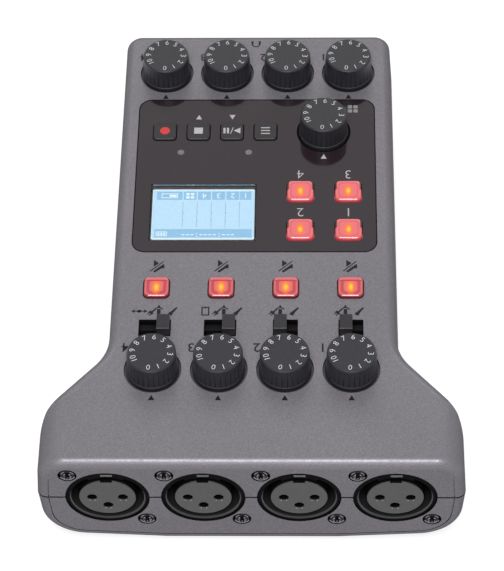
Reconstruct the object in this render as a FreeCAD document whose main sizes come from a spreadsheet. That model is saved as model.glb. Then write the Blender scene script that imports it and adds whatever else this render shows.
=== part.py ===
import FreeCAD, Part
import Sketcher
import os
import re

# Compact podcast recorder.
# Millimetres. +Z up, +Y towards the microphone sockets, +X to the user's right.
# The origin is under the middle of the case, on the surface that the feet stand on.

doc = FreeCAD.newDocument("PodcastRecorder")

SIZES = (
    # Case
    ("case_length", 155.0, "front face to rear face"),
    ("case_width", 112.7, "across the socket end at the parting line"),
    ("stem_width", 79.1, "across the narrow end at the parting line"),
    ("foot_height", 3.0, "surface to the underside of the case"),
    ("lower_height", 20.1, "underside to the parting line"),
    ("upper_height", 15.3, "parting line to the deck"),
    ("wall", 2.2, "thickness of both shells"),
    ("shoulder_start", 39.7, "where the slanted shoulder line leaves the narrow side"),
    ("shoulder_angle", 41.0, "shoulder line from the long axis, degrees"),
    ("waist_radius", 14.6, "hollow bend where the shoulder begins"),
    ("hip_radius", 17.3, "round bend where the shoulder ends"),
    ("upper_draft", 4.0, "side walls of the upper shell, degrees"),
    ("lower_draft", 3.5, "side walls of the lower shell, degrees"),
    ("deck_roll", 7.0, "upper corners of the rear face, carried forward to the shoulders"),
    ("keel_roll", 12.0, "lower corners of the rear face, carried forward to the shoulders"),
    ("roll_ease", 0.02, "plan of the case beyond its sides"),
    ("rear_edge_radius", 2.6, "outline of the rear face"),
    ("front_corner_radius", 4.5, "upright corners of the front face"),
    ("stem_edge_radius", 3.2, "level edges of the narrow part, the shoulders and the front face"),
    ("crown_flat", 46.0, "flat middle of the underside"),
    ("crown_rise", 0.07, "slope of the underside beside the flat"),
    ("seam_depth", 0.5, "groove round the case above the parting line"),
    ("seam_height", 0.35, "groove round the case above the parting line"),
    ("rim_margin", 0.3, "rounded rear edge to the fine groove in the rear face"),
    ("rim_line", 0.25, "width of the fine groove"),
    ("rim_depth", 0.4, "depth of the fine groove"),
    ("rim_top", 8.4, "parting line to the upper ends of the fine groove"),
    # Control panel
    ("panel_width", 67.6, "glossy panel"),
    ("panel_length", 57.0, "glossy panel"),
    ("panel_y", -22.1, "middle of the panel"),
    ("panel_thick", 1.2, "glossy panel"),
    ("panel_corner", 3.6, "corner radius of the panel"),
    ("panel_gap", 0.15, "gap between panel and deck"),
    # Dials
    ("dial_pitch", 17.6, "between neighbouring channels"),
    ("gain_row", 46.9, "middle of the gain dials"),
    ("phones_row", -61.2, "middle of the headphone dials"),
    ("level_x", -19.2, "pad level dial"),
    ("key_row", -38.1, "pad level dial and transport keys"),
    ("dial_foot_radius", 7.0, "dial at the deck"),
    ("dial_top_radius", 6.55, "dial at its top"),
    ("dial_height", 8.1, "dial from its lower rim"),
    ("dial_sink", 0.5, "lower rim of the dial below the deck"),
    ("dial_skirt", 1.3, "smooth band under the flutes"),
    ("dial_hub_radius", 4.3, "hub under the dial"),
    ("dial_shell", 1.3, "wall of the dial"),
    ("flute_depth", 0.3, "flutes of the dial, at its foot"),
    ("flute_half", 0.35, "half of a flute's width"),
    ("flute_count", 30.0, "flutes round a dial"),
    ("well_radius", 7.7, "shallow well round each dial"),
    ("well_depth", 0.8, "shallow well round each dial"),
    ("shaft_radius", 3.0, "potentiometer shaft"),
    ("shaft_length", 13.6, "potentiometer shaft"),
    ("shaft_flat", 2.2, "shaft centre to its flat"),
    ("shaft_fit", 0.05, "running clearance of the shaft"),
    ("pot_width", 10.6, "potentiometer body"),
    ("pot_depth", 11.4, "potentiometer body"),
    ("pot_height", 5.0, "potentiometer body"),
    ("bush_radius", 4.2, "bush on the potentiometer"),
    ("bush_height", 1.7, "bush on the potentiometer"),
    ("shaft_hole", 3.6, "hole radius in the deck"),
    # Buttons
    ("mute_row", 19.2, "mute buttons"),
    ("mute_size", 7.0, "mute button, both ways"),
    ("pad_x", -19.35, "middle of the four pads"),
    ("pad_y", -8.4, "middle of the four pads"),
    ("pad_pitch_x", 13.4, "between pads"),
    ("pad_pitch_y", 14.0, "between pads"),
    ("pad_size", 7.4, "sound pad, both ways"),
    ("key_first_x", -2.6, "menu key"),
    ("key_pitch", 9.58, "between transport keys"),
    ("key_width", 6.55, "transport key"),
    ("key_depth", 6.4, "transport key"),
    ("button_raise", 0.9, "lit buttons above the deck"),
    ("key_raise", 0.6, "transport keys above the panel"),
    ("lit_corner", 1.4, "corner radius of a lit button, seen from above"),
    ("lit_edge", 0.8, "rounded upper edge of a lit button"),
    ("key_corner", 1.0, "corner radius of a transport key, seen from above"),
    ("key_edge", 0.45, "rounded upper edge of a transport key"),
    ("button_gap", 0.2, "button to its hole"),
    ("button_flange", 0.8, "how far the flange reaches under the deck"),
    ("flange_thick", 0.8, "button flange"),
    ("button_travel", 0.8, "full press"),
    ("stem_size", 3.0, "button stem, both ways"),
    ("press_gap", 0.1, "left under the stem at full press"),
    ("tact_size", 6.0, "tact switch, both ways"),
    ("tact_height", 2.8, "tact switch body"),
    ("tact_plunger", 1.7, "radius of its plunger"),
    # Display
    ("display_x", 14.5, "middle of the display"),
    ("display_y", -8.0, "middle of the display"),
    ("display_width", 29.6, "window"),
    ("display_depth", 20.7, "window"),
    ("display_drop", 2.6, "deck to the lit surface"),
    ("lens_thick", 1.0, "clear window"),
    ("lens_ledge", 0.45, "ledge under the edge of the lens"),
    ("module_rim", 1.9, "display module beyond the window"),
    ("module_height", 4.0, "display module"),
    # Input slides
    ("slide_row", 32.9, "middle of the slide slots"),
    ("slot_depth", 5.7, "slot, front to rear"),
    ("slot_wide", 8.7, "slot of a slide with three positions"),
    ("slot_narrow", 6.7, "slot of a slide with two positions"),
    ("lever_width", 3.4, "slide cap"),
    ("lever_depth", 5.3, "slide cap"),
    ("lever_raise", 3.0, "slide cap above the deck"),
    ("lever_gap", 0.3, "slide cap to the end of its slot"),
    ("lever_stem", 1.6, "stem under the cap"),
    ("switch_width", 12.0, "slide switch body"),
    ("switch_depth", 6.0, "slide switch body"),
    ("switch_gap", 0.3, "slide switch below the deck"),
    ("switch_slot", 2.0, "depth of the slot in the switch body"),
    # Circuit boards
    ("board_thick", 1.6, "both boards"),
    ("control_drop", 7.0, "underside of the deck to the control board"),
    ("control_width", 68.4, "control board"),
    ("control_front", -70.0, "front edge of the control board"),
    ("control_rear", 52.8, "rear edge of the control board"),
    ("main_drop", 0.5, "parting line to the underside of the main board"),
    ("main_width", 71.0, "main board"),
    ("main_front", -74.4, "front edge of the main board"),
    ("main_rear", 52.6, "rear edge of the main board"),
    ("post_radius", 1.8, "posts that carry the boards"),
    ("side_post_x", 33.0, "side posts of the control board"),
    ("side_post_rear", 8.0, "side posts of the control board"),
    ("side_post_front", -30.0, "side posts of the control board"),
    ("middle_post_rear", 40.0, "middle post of the control board"),
    ("middle_post_front", -50.5, "middle post of the control board"),
    ("bay_post_x", 10.0, "posts on the battery bay"),
    ("bay_post_rear", -8.0, "posts on the battery bay"),
    ("bay_post_front", -55.0, "posts on the battery bay"),
    ("floor_post_x", 30.0, "posts on the floor"),
    ("floor_post_y", 39.0, "posts on the floor"),
    # Case screws
    ("boss_x", 28.5, "front and middle screws"),
    ("boss_front", -50.0, "front screws"),
    ("boss_middle", 26.5, "middle screws"),
    ("boss_rear_x", 36.0, "rear screws"),
    ("boss_rear", 48.4, "rear screws"),
    ("lower_boss", 4.0, "radius of the lower boss"),
    ("upper_boss", 2.7, "radius of the upper boss"),
    ("screw_radius", 1.45, "case screw"),
    ("screw_head", 2.6, "radius of the head"),
    ("screw_head_height", 1.8, "head"),
    ("screw_length", 21.0, "under the head"),
    ("screw_sink", 6.0, "underside to the seat of the head"),
    # Microphone sockets
    ("socket_pitch", 25.2, "between sockets"),
    ("socket_hole", 11.1, "radius of the hole in the case"),
    ("socket_ring", 10.85, "radius of the housing"),
    ("socket_bore", 9.65, "radius of the groove"),
    ("socket_insert", 7.8, "radius of the insert"),
    ("socket_inset", 0.5, "ring behind the rear face"),
    ("insert_inset", 0.9, "insert behind the rear face"),
    ("groove_depth", 14.5, "groove round the insert"),
    ("socket_length", 18.5, "rear face to the back of the housing"),
    ("socket_depth", 23.0, "rear face to the back of the insert"),
    ("insert_gap", 0.04, "foot of the insert to the housing"),
    ("flange_half", 12.2, "flange behind the rear wall"),
    ("flange_depth", 2.0, "flange behind the rear wall"),
    ("key_width_xlr", 3.1, "key slot in the insert"),
    ("latch_window", 13.6, "opening in the ring over the key slot"),
    ("contact_spread", 4.05, "side contacts from the middle"),
    ("contact_low", 3.6, "third contact below the middle"),
    ("contact_hole", 1.35, "radius of a contact hole"),
    ("contact_gap", 0.05, "contact sleeve to its hole"),
    ("contact_sink", 3.6, "contact sleeve behind the face of the insert"),
    ("contact_bore", 0.95, "radius inside a contact sleeve"),
    ("tail_radius", 0.5, "tail of a contact"),
    ("tail_proud", 1.4, "tail of a contact behind the insert"),
    ("mount_offset", 9.95, "socket screw from the socket's middle, both ways"),
    ("mount_head", 2.15, "socket screw head"),
    ("mount_recess", 2.5, "recess round the head"),
    ("mount_seat", 1.3, "depth of the recess"),
    ("mount_shank", 1.3, "socket screw shank"),
    ("mount_length", 7.0, "socket screw under its head"),
    ("mount_room", 0.2, "cut round the flange and the screws where a narrower case comes near"),
    # Sockets in the other faces
    ("jack_height", 19.2, "middle of the small sockets above the surface"),
    ("jack_bore", 1.8, "radius, for a 3.5 mm plug"),
    ("jack_bore_length", 12.0, "bore"),
    ("jack_collar", 2.9, "radius of the collar"),
    ("jack_width", 6.6, "socket body"),
    ("jack_length", 12.2, "socket body"),
    ("jack_inset", 0.6, "collar behind the face"),
    ("telephone_y", -26.0, "telephone socket in the right side"),
    ("port_height", 20.3, "middle of the data sockets above the surface"),
    ("port_width", 8.94, "data socket shell"),
    ("port_thick", 3.26, "data socket shell"),
    ("port_metal", 0.3, "data socket shell"),
    ("port_depth", 7.4, "data socket shell"),
    ("power_port_y", -6.0, "supply socket in the left side"),
    ("data_port_y", 8.0, "data socket in the left side"),
    ("card_y", 8.0, "card slot in the right side"),
    ("card_width", 24.4, "card slot"),
    ("card_thick", 2.4, "card slot"),
    ("card_depth", 19.0, "card holder"),
    ("card_height", 20.6, "middle of the card slot above the surface"),
    ("power_y", -24.0, "power slide in the left side"),
    ("power_travel", 3.5, "power slide"),
    ("power_length", 4.4, "power slide knob"),
    ("power_thick", 2.2, "power slide knob"),
    ("power_proud", 0.3, "power slide knob beyond the wall"),
    # Battery bay
    ("cell_radius", 7.25, "battery cell"),
    ("cell_length", 50.5, "battery cell with its tip"),
    ("cell_pitch", 14.9, "between the cells"),
    ("bay_half", 15.6, "half of the bay's width"),
    ("bay_wall", 1.4, "end walls and ceiling of the bay"),
    ("bay_front", -60.4, "front end of the bay, inside"),
    ("bay_rear", -3.0, "rear end of the bay, inside"),
    ("bay_top", 20.3, "ceiling of the bay above the surface"),
    ("cover_half", 17.0, "half of the cover's width"),
    ("cover_thick", 2.4, "battery cover"),
    ("cover_gap", 0.15, "gap round the cover"),
    ("cover_rear", -1.9, "rear end of the cover"),
    ("tongue_reach", 1.4, "tongue beside the cover"),
    ("tongue_thick", 0.7, "tongue beside the cover"),
    ("tongue_front", -70.0, "front end of the tongue"),
    ("rail_width", 3.8, "rail beside the cover"),
    ("rail_height", 3.8, "rail above the underside"),
    ("rail_start", 5.0, "front face to the front end of the rail"),
    ("rail_root", 0.4, "rail into the floor"),
    ("grip_count", 5.0, "grip grooves across the cover"),
    ("grip_pitch", 1.4, "between the grip grooves"),
    ("grip_y", -62.0, "first grip groove"),
    ("grip_half", 7.0, "half of a grip groove's length"),
    ("grip_width", 0.7, "grip groove"),
    ("grip_depth", 0.4, "grip groove"),
    # Feet
    ("foot_radius", 5.0, "rubber foot"),
    ("foot_top", 4.4, "ceiling of the foot's recess above the surface"),
    ("foot_gap", 0.05, "foot to its recess"),
    ("foot_front_x", 23.6, "front feet"),
    ("foot_front_y", -66.0, "front feet"),
    ("foot_rear_x", 30.0, "rear feet"),
    ("foot_rear_y", 64.0, "rear feet"),
    # Cutting tools reach this far past what they cut
    ("overrun", 20.0, "cutting tools past the case"),
)

sheet = doc.addObject("Spreadsheet::Sheet", "Sizes")
for row, (alias, value, meaning) in enumerate(SIZES, 1):
    sheet.set("A%d" % row, alias)
    sheet.set("B%d" % row, str(value))
    sheet.set("C%d" % row, meaning)
    sheet.setAlias("B%d" % row, alias)
doc.recompute()
WORDS = set(alias for alias, value, meaning in SIZES)

# Heights and places that several pieces share
PARTING = "(foot_height + lower_height)"
DECK = "(%s + upper_height)" % PARTING
DECK_UNDER = "(%s - wall)" % DECK
HALF = "(case_length / 2)"
CONTROL_TOP = "(%s - control_drop)" % DECK_UNDER
MAIN_UNDER = "(%s - main_drop)" % PARTING
FLOOR = "(foot_height + wall)"
NODES = []


def bound(expression):
    """Point each size word in an expression at the sheet."""
    def point(match):
        word = match.group()
        return "Sizes." + word if word in WORDS else word
    return re.sub(r"[a-z_]+", point, str(expression))


def val(expression):
    return float(sheet.evalExpression(bound(expression)))


def node(label, thing):
    """Keep a finished piece under the name of its node."""
    thing.Label = label
    NODES.append(thing)
    return thing


def put(thing, at, rotation=None):
    if rotation:
        thing.Placement = FreeCAD.Placement(FreeCAD.Vector(0, 0, 0), rotation)
    for axis, place in zip("xyz", at):
        thing.setExpression("Placement.Base." + axis, bound(place))
    return thing


def turned(x, y, z, angle):
    return FreeCAD.Rotation(FreeCAD.Vector(x, y, z), angle)


def pick(shape, test):
    return ["Edge%d" % (i + 1) for i, edge in enumerate(shape.Edges) if test(edge)]


# Plain solids, each with its sizes bound to the sheet

def box(name, low, size):
    thing = doc.addObject("Part::Box", name)
    for side, length in zip(("Length", "Width", "Height"), size):
        thing.setExpression(side, bound(length))
    return put(thing, low)


def middle_box(name, middle, size):
    """A box given by the middle of its footprint, its underside and its size."""
    x, y, z = middle
    low = ("%s - (%s) / 2" % (x, size[0]), "%s - (%s) / 2" % (y, size[1]), z)
    return box(name, low, size)


def cylinder(name, base, radius, height, axis="z"):
    thing = doc.addObject("Part::Cylinder", name)
    thing.setExpression("Radius", bound(radius))
    thing.setExpression("Height", bound(height))
    turn = {"z": None, "y": turned(1, 0, 0, -90), "x": turned(0, 1, 0, 90)}[axis]
    return put(thing, base, turn)


def rounded(thing, radius, along):
    """Round the edges of a box that run along one axis."""
    doc.recompute()

    def runs(edge):
        box_size = edge.BoundBox
        lengths = {"x": box_size.XLength, "y": box_size.YLength, "z": box_size.ZLength}
        return lengths[along] > 0.999 * edge.Length
    names = pick(thing.Shape, runs)
    result = doc.addObject("Part::Fillet", thing.Name + "_round")
    result.Base = thing
    result.Edges = [(int(name[4:]), val(radius), val(radius)) for name in names]
    return result


def joined(name, things):
    result = doc.addObject("Part::MultiFuse", name)
    result.Shapes = things
    return result


def without(name, base, tools):
    result = doc.addObject("Part::Cut", name)
    result.Base = base
    result.Tool = tools[0] if len(tools) == 1 else joined(name + "_tools", tools)
    return result


def shared(name, base, tool):
    result = doc.addObject("Part::Common", name)
    result.Base = base
    result.Tool = tool
    return result


def group(name, things):
    result = doc.addObject("Part::Compound", name)
    result.Links = things
    return result


# Bodies made from sketches

def new_body(name, at, rotation=None):
    return put(doc.addObject("PartDesign::Body", name), at, rotation)


def origin_item(body, role):
    return [item for item in body.Origin.OriginFeatures if item.Role == role][0]


def new_sketch(body, name, role):
    sketch = body.newObject("Sketcher::SketchObject", name)
    sketch.AttachmentSupport = [(origin_item(body, role), "")]
    sketch.MapMode = "FlatFace"
    return sketch


def add_loop(sketch, points):
    """A closed polygon whose corners are bound to the sheet."""
    first = sketch.GeometryCount
    places = [FreeCAD.Vector(val(x), val(y), 0) for x, y in points]
    count = len(points)
    for i in range(count):
        sketch.addGeometry(Part.LineSegment(places[i], places[(i + 1) % count]), False)
    for i in range(count):
        after = first + (i + 1) % count
        sketch.addConstraint(Sketcher.Constraint("Coincident", first + i, 2, after, 1))
    for i, (x, y) in enumerate(points):
        for kind, size, place in (("DistanceX", x, places[i].x), ("DistanceY", y, places[i].y)):
            index = sketch.addConstraint(Sketcher.Constraint(kind, -1, 1, first + i, 1, place))
            sketch.setExpression("Constraints[%d]" % index, bound(size))


def outline(body, name, role, loops):
    sketch = new_sketch(body, name, role)
    for points in loops:
        add_loop(sketch, points)
    return sketch


def pad(body, name, sketch, length, backwards=False):
    feature = body.newObject("PartDesign::Pad", name)
    feature.Profile = sketch
    feature.setExpression("Length", bound(length))
    feature.Reversed = backwards
    return feature


def cut_through(body, name, sketch):
    feature = body.newObject("PartDesign::Pocket", name)
    feature.Profile = sketch
    feature.Type = "ThroughAll"
    feature.Midplane = True
    return feature


def turn_profile(body, name, sketch, axis):
    feature = body.newObject("PartDesign::Revolution", name)
    feature.Profile = sketch
    feature.ReferenceAxis = (sketch, [axis])
    feature.Angle = 360
    return feature


def fillet(body, name, base, test, radius):
    doc.recompute()
    feature = body.newObject("PartDesign::Fillet", name)
    feature.Base = (base, pick(base.Shape, test))
    feature.setExpression("Radius", bound(radius))
    return feature


# Case shells

def plan_points(inset):
    """The case seen from above, drawn in by an inset and longer than the case at the rear."""
    wide = "(case_width / 2 - %s + roll_ease)" % inset
    narrow = "(stem_width / 2 - %s)" % inset
    waist = "(shoulder_start + %s * tan(shoulder_angle / 2))" % inset
    hip = "(%s + (%s - %s) / tan(shoulder_angle))" % (waist, wide, narrow)
    front = "(%s - %s)" % (HALF, inset)
    rear = "(%s + overrun)" % HALF
    right = [(narrow, "-" + front), (narrow, waist), (wide, hip), (wide, rear)]
    left = [("-" + x, y) for x, y in reversed(right)]
    return right + left


def side_levels(inset, upper):
    """Half width and height of the straight corners of the rear face, from the parting line."""
    side = "(case_width / 2 - %s)" % inset
    if upper:
        rise = "(upper_height - %s)" % inset
        return [(side, "0"), ("%s - %s * tan(upper_draft)" % (side, rise), rise)]
    low = "(lower_height - %s)" % inset
    heel = "(%s - %s * tan(lower_draft))" % (side, low)
    lift = "(%s - (%s - crown_flat / 2) * crown_rise)" % (low, heel)
    return [(side, "0"), (heel, "-" + lift), ("crown_flat / 2", "-" + low)]


def both_sides(right):
    return right + [("-(%s)" % x, level) for x, level in reversed(right)]


def crown_loops(level):
    """What the slanted sides of the underside take away, seen from the rear."""
    rise = "%s + (case_width - crown_flat / 2) * crown_rise" % level
    loops = []
    for side in ("", "-"):
        flat = side + "crown_flat / 2"
        out = side + "case_width"
        loops.append([(flat, level), (out, rise), (out, level + " - overrun"),
                      (flat, level + " - overrun")])
    return loops


def rolled_form(name, inset, upper, softened):
    """The outline of the rear face carried forward past the front of the case."""
    body = new_body(name + "_rolled", ("0", "%s - %s" % (HALF, inset), PARTING))
    sketch = outline(body, name + "_rear_lines", "XZ_Plane", [both_sides(side_levels(inset, upper))])
    last = pad(body, name + "_bar", sketch, "case_length + overrun")

    def corner(edge):
        along = edge.BoundBox.YLength > 0.9 * edge.Length
        outward = abs(edge.CenterOfMass.x) > val("crown_flat")
        return along and outward and abs(edge.CenterOfMass.z) > val("upper_height / 2")
    roll = "deck_roll" if upper else "keel_roll"
    last = fillet(body, name + "_roll", last, corner, "%s - %s" % (roll, inset))
    if softened:
        def rear_edge(edge):
            return edge.BoundBox.YMin > -0.01 and max(abs(edge.BoundBox.ZMin), abs(edge.BoundBox.ZMax)) > 0.3
        fillet(body, name + "_rear", last, rear_edge, "rear_edge_radius - %s" % inset)
    return body


def plan_form(name, inset, upper, softened):
    """The case seen from above: drafted sides, bent shoulders and an upright front face."""
    height = ("(upper_height - %s)" if upper else "(lower_height - %s)") % inset
    body = new_body(name + "_planned", ("0", "0", PARTING))
    sketch = outline(body, name + "_plan", "XY_Plane", [plan_points(inset)])
    last = pad(body, name + "_block", sketch, height, backwards=not upper)
    doc.recompute()
    sides = []
    for i, face in enumerate(last.Shape.Faces):
        normal = face.normalAt(0, 0)
        if abs(normal.z) < 0.01 and abs(normal.x) > 0.01:
            sides.append("Face%d" % (i + 1))
    slope = body.newObject("PartDesign::Draft", name + "_slope")
    slope.Base = (last, sides)
    slope.NeutralPlane = (origin_item(body, "XY_Plane"), [""])
    slope.setExpression("Angle", bound("upper_draft" if upper else "lower_draft"))
    slope.Reversed = not upper
    last = slope
    if not upper:
        crown = outline(body, name + "_crown_lines", "XZ_Plane", crown_loops("-" + height))
        last = cut_through(body, name + "_crown", crown)
    full = val(height)
    between = val("(case_width + stem_width) / 4")

    def shoulder(edge):
        return edge.BoundBox.ZLength > 0.5 * full and 0 < edge.CenterOfMass.y < val(HALF)

    def at_waist(edge):
        return shoulder(edge) and abs(edge.CenterOfMass.x) < between

    def at_hip(edge):
        return shoulder(edge) and abs(edge.CenterOfMass.x) > between

    last = fillet(body, name + "_waist", last, at_waist, "waist_radius + %s" % inset)
    last = fillet(body, name + "_hip", last, at_hip, "hip_radius - %s" % inset)
    if softened:
        def at_front(edge):
            return edge.BoundBox.ZLength > 0.5 * full and edge.CenterOfMass.y < 0
        last = fillet(body, name + "_corners", last, at_front, "front_corner_radius - %s" % inset)

        def stem_edge(edge):
            extent = edge.BoundBox
            level = min(abs(extent.ZMin), abs(extent.ZMax))
            on_crown = abs(edge.CenterOfMass.x) < val("crown_flat / 2") + 1 and extent.YLength > 1
            return level > full - 4 and extent.YMax < val(HALF) + 1 and not on_crown
        fillet(body, name + "_edges", last, stem_edge, "stem_edge_radius - %s" % inset)
    return body


def hull(name, inset, upper, softened=True):
    """Half of the case as a closed solid: its rear outline and its plan, where they meet."""
    rolled = rolled_form(name, inset, upper, softened)
    return shared(name, rolled, plan_form(name, inset, upper, softened))


BOSSES = []
for side in ("", "-"):
    BOSSES.append((side + "boss_x", "boss_front"))
    BOSSES.append((side + "boss_x", "boss_middle"))
    BOSSES.append((side + "boss_rear_x", "boss_rear"))
FEET = []
for side in ("", "-"):
    FEET.append((side + "foot_front_x", "foot_front_y"))
    FEET.append((side + "foot_rear_x", "foot_rear_y"))
# Channel 1 is at the user's left
CHANNELS = tuple((i + 1, "(%s)" % (i - 1.5)) for i in range(4))
UPPER_POSTS = [("0", "middle_post_rear"), ("0", "middle_post_front")]
BAY_POSTS = []
FLOOR_POSTS = []
for side in ("", "-"):
    UPPER_POSTS.append((side + "side_post_x", "side_post_rear"))
    UPPER_POSTS.append((side + "side_post_x", "side_post_front"))
    BAY_POSTS.append((side + "bay_post_x", "bay_post_rear"))
    BAY_POSTS.append((side + "bay_post_x", "bay_post_front"))
    FLOOR_POSTS.append((side + "floor_post_x", "floor_post_y"))


def dial_places():
    places = []
    for number, step in CHANNELS:
        places.append(("gain_knob_%d" % number, step + " * dial_pitch", "gain_row"))
        places.append(("phones_knob_%d" % number, step + " * dial_pitch", "phones_row"))
    places.append(("pad_level_knob", "level_x", "key_row"))
    return places


def button_places():
    """Name, place, width, depth, height above the deck and kind of edge of every button."""
    places = []
    for number, step in CHANNELS:
        places.append(("mute_button_%d" % number, step + " * dial_pitch", "mute_row",
                       "mute_size", "mute_size", "button_raise", "lit"))
    for letter, across, along in (("a", "-", "+"), ("b", "+", "+"), ("c", "-", "-"), ("d", "+", "-")):
        places.append(("pad_button_" + letter, "(pad_x %s pad_pitch_x / 2)" % across,
                       "(pad_y %s pad_pitch_y / 2)" % along, "pad_size", "pad_size", "button_raise", "lit"))
    for index, name in enumerate(("menu_key", "play_key", "stop_key", "record_key")):
        places.append((name, "(key_first_x + %d * key_pitch)" % index, "key_row",
                       "key_width", "key_depth", "key_raise", "key"))
    return places


def slide_places():
    """Channel, middle of the slot, width of the slot and side on which the cap rests."""
    places = []
    for number, step in CHANNELS:
        slot = "slot_wide" if number > 2 else "slot_narrow"
        rest = "-" if number > 2 else "+"
        places.append((number, step + " * dial_pitch", slot, rest))
    return places


def socket_holes(height):
    """Tools for the four microphone sockets, their flanges and their screws, in one shell."""
    tools = []
    sign = "+" if height == "up" else "-"
    for number, step in CHANNELS:
        x = step + " * socket_pitch"
        tools.append(cylinder("socket_hole_%s_%d" % (height, number), (x, HALF + " - wall - 2", PARTING),
                              "socket_hole", "wall + 4", "y"))
        screw = ("%s %s mount_offset" % (x, sign), "%s %s mount_offset" % (PARTING, sign))
        seat = (screw[0], HALF + " - mount_seat", screw[1])
        tools.append(cylinder("screw_recess_%s_%d" % (height, number), seat, "mount_recess", "mount_seat + 1", "y"))
        deep = "(mount_seat + mount_length + mount_room)"
        tools.append(cylinder("screw_hole_%s_%d" % (height, number), (screw[0], HALF + " - " + deep, screw[1]),
                              "mount_shank + mount_room", deep, "y"))
    across = "(3 * socket_pitch + 2 * flange_half + 2 * mount_room)"
    tall = "(2 * flange_half + 2 * mount_room)"
    middle = ("0", HALF + " - wall - (flange_depth + mount_room) / 2", "%s - %s / 2" % (PARTING, tall))
    tools.append(middle_box("flange_room_" + height, middle, (across, "flange_depth + mount_room / 2", tall)))
    return tools


def seam_groove():
    """Tool for the shadow line between the shells, cut from the upper one."""
    belt = middle_box("seam_belt", ("0", "0", PARTING + " - 1"),
                      ("2 * case_width", "2 * case_length", "seam_height + 1"))
    return without("seam_groove", belt, [hull("seam_core", "seam_depth", True)])


def rear_form(name, inset, top):
    """A block with the outline of the rear face, drawn in by an inset and open to a height."""
    body = new_body(name, ("0", "%s - rim_depth" % HALF, PARTING))
    side, heel, keel = side_levels(inset, False)
    right = [keel, heel, side, ("%s - %s * tan(upper_draft)" % (side[0], top), top)]
    lines = outline(body, name + "_lines", "XZ_Plane", [both_sides(right)])
    block = pad(body, name + "_block", lines, "rim_depth + 1", backwards=True)
    doc.recompute()

    def heel_edge(edge):
        along = edge.BoundBox.YLength > 0.9 * edge.Length
        low = edge.CenterOfMass.z < -val("lower_height / 2")
        return along and low and abs(edge.CenterOfMass.x) > val("crown_flat")
    fillet(body, name + "_heels", block, heel_edge, "keel_roll - %s" % inset)
    return body


def rim_groove():
    """Tool for the fine line that runs down both sides of the rear face and along its lower edge."""
    outer = rear_form("rim_outer", "(rear_edge_radius + rim_margin)", "rim_top")
    inner = rear_form("rim_inner", "(rear_edge_radius + rim_margin + rim_line)", "(rim_top + 1)")
    return without("rim_groove", outer, [inner])


def make_top_case():
    outer = hull("upper_outer", "0", True)
    inner = hull("upper_inner", "wall", True, softened=False)
    shell = without("upper_shell", outer, [inner])
    added = [shell]
    for i, (x, y) in enumerate(BOSSES):
        added.append(cylinder("upper_boss_%d" % i, (x, y, PARTING), "upper_boss", "upper_height - wall / 2"))
    for i, (x, y) in enumerate(UPPER_POSTS):
        added.append(cylinder("upper_post_%d" % i, (x, y, CONTROL_TOP), "post_radius",
                              "control_drop + wall / 4"))
    solid = joined("upper_solid", added)

    tools = []
    for i, (x, y) in enumerate(BOSSES):
        tools.append(cylinder("upper_thread_%d" % i, (x, y, PARTING + " - 1"), "screw_radius + shaft_fit",
                              "upper_height - wall - 2"))
    recess = middle_box("panel_recess", ("0", "panel_y", DECK + " - panel_thick"),
                        ("panel_width + 2 * panel_gap", "panel_length + 2 * panel_gap", "panel_thick + 5"))
    tools.append(rounded(recess, "panel_corner + panel_gap", "z"))
    tools.append(middle_box("display_opening", ("display_x", "display_y", DECK_UNDER + " - 1"),
                            ("display_width - 2 * lens_ledge", "display_depth - 2 * lens_ledge", "wall + 6")))
    for name, x, y in dial_places():
        tools.append(cylinder(name + "_shaft_hole", (x, y, DECK_UNDER + " - 1"), "shaft_hole", "wall + 6"))
        if name != "pad_level_knob":
            tools.append(cylinder(name + "_well", (x, y, DECK + " - well_depth"), "well_radius",
                                  "well_depth + 5"))
    for name, x, y, width, depth, rise, kind in button_places():
        hole = middle_box(name + "_hole", (x, y, DECK_UNDER + " - 1"),
                          (width + " + 2 * button_gap", depth + " + 2 * button_gap", "wall + 6"))
        tools.append(rounded(hole, kind + "_corner + button_gap", "z"))
    for number, x, slot, rest in slide_places():
        tools.append(middle_box("slide_slot_%d" % number, (x, "slide_row", DECK_UNDER + " - 1"),
                                (slot, "slot_depth", "wall + 6")))
    tools += socket_holes("up")
    tools += [seam_groove(), RIM_GROOVE]
    node("top_case", without("top_case", solid, tools))


def bay_shell():
    """Walls and ceiling over the battery cells, open below."""
    low = "(foot_height + cover_thick + 0.2)"
    outer = box("bay_block", ("-(bay_half + 2)", "bay_front - bay_wall", low),
                ("2 * (bay_half + 2)", "bay_rear - bay_front + 2 * bay_wall", "bay_top + bay_wall - " + low))
    inner = box("bay_room", ("-bay_half", "bay_front", "0"),
                ("2 * bay_half", "bay_rear - bay_front", "bay_top"))
    return without("bay_shell", outer, [inner])


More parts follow.
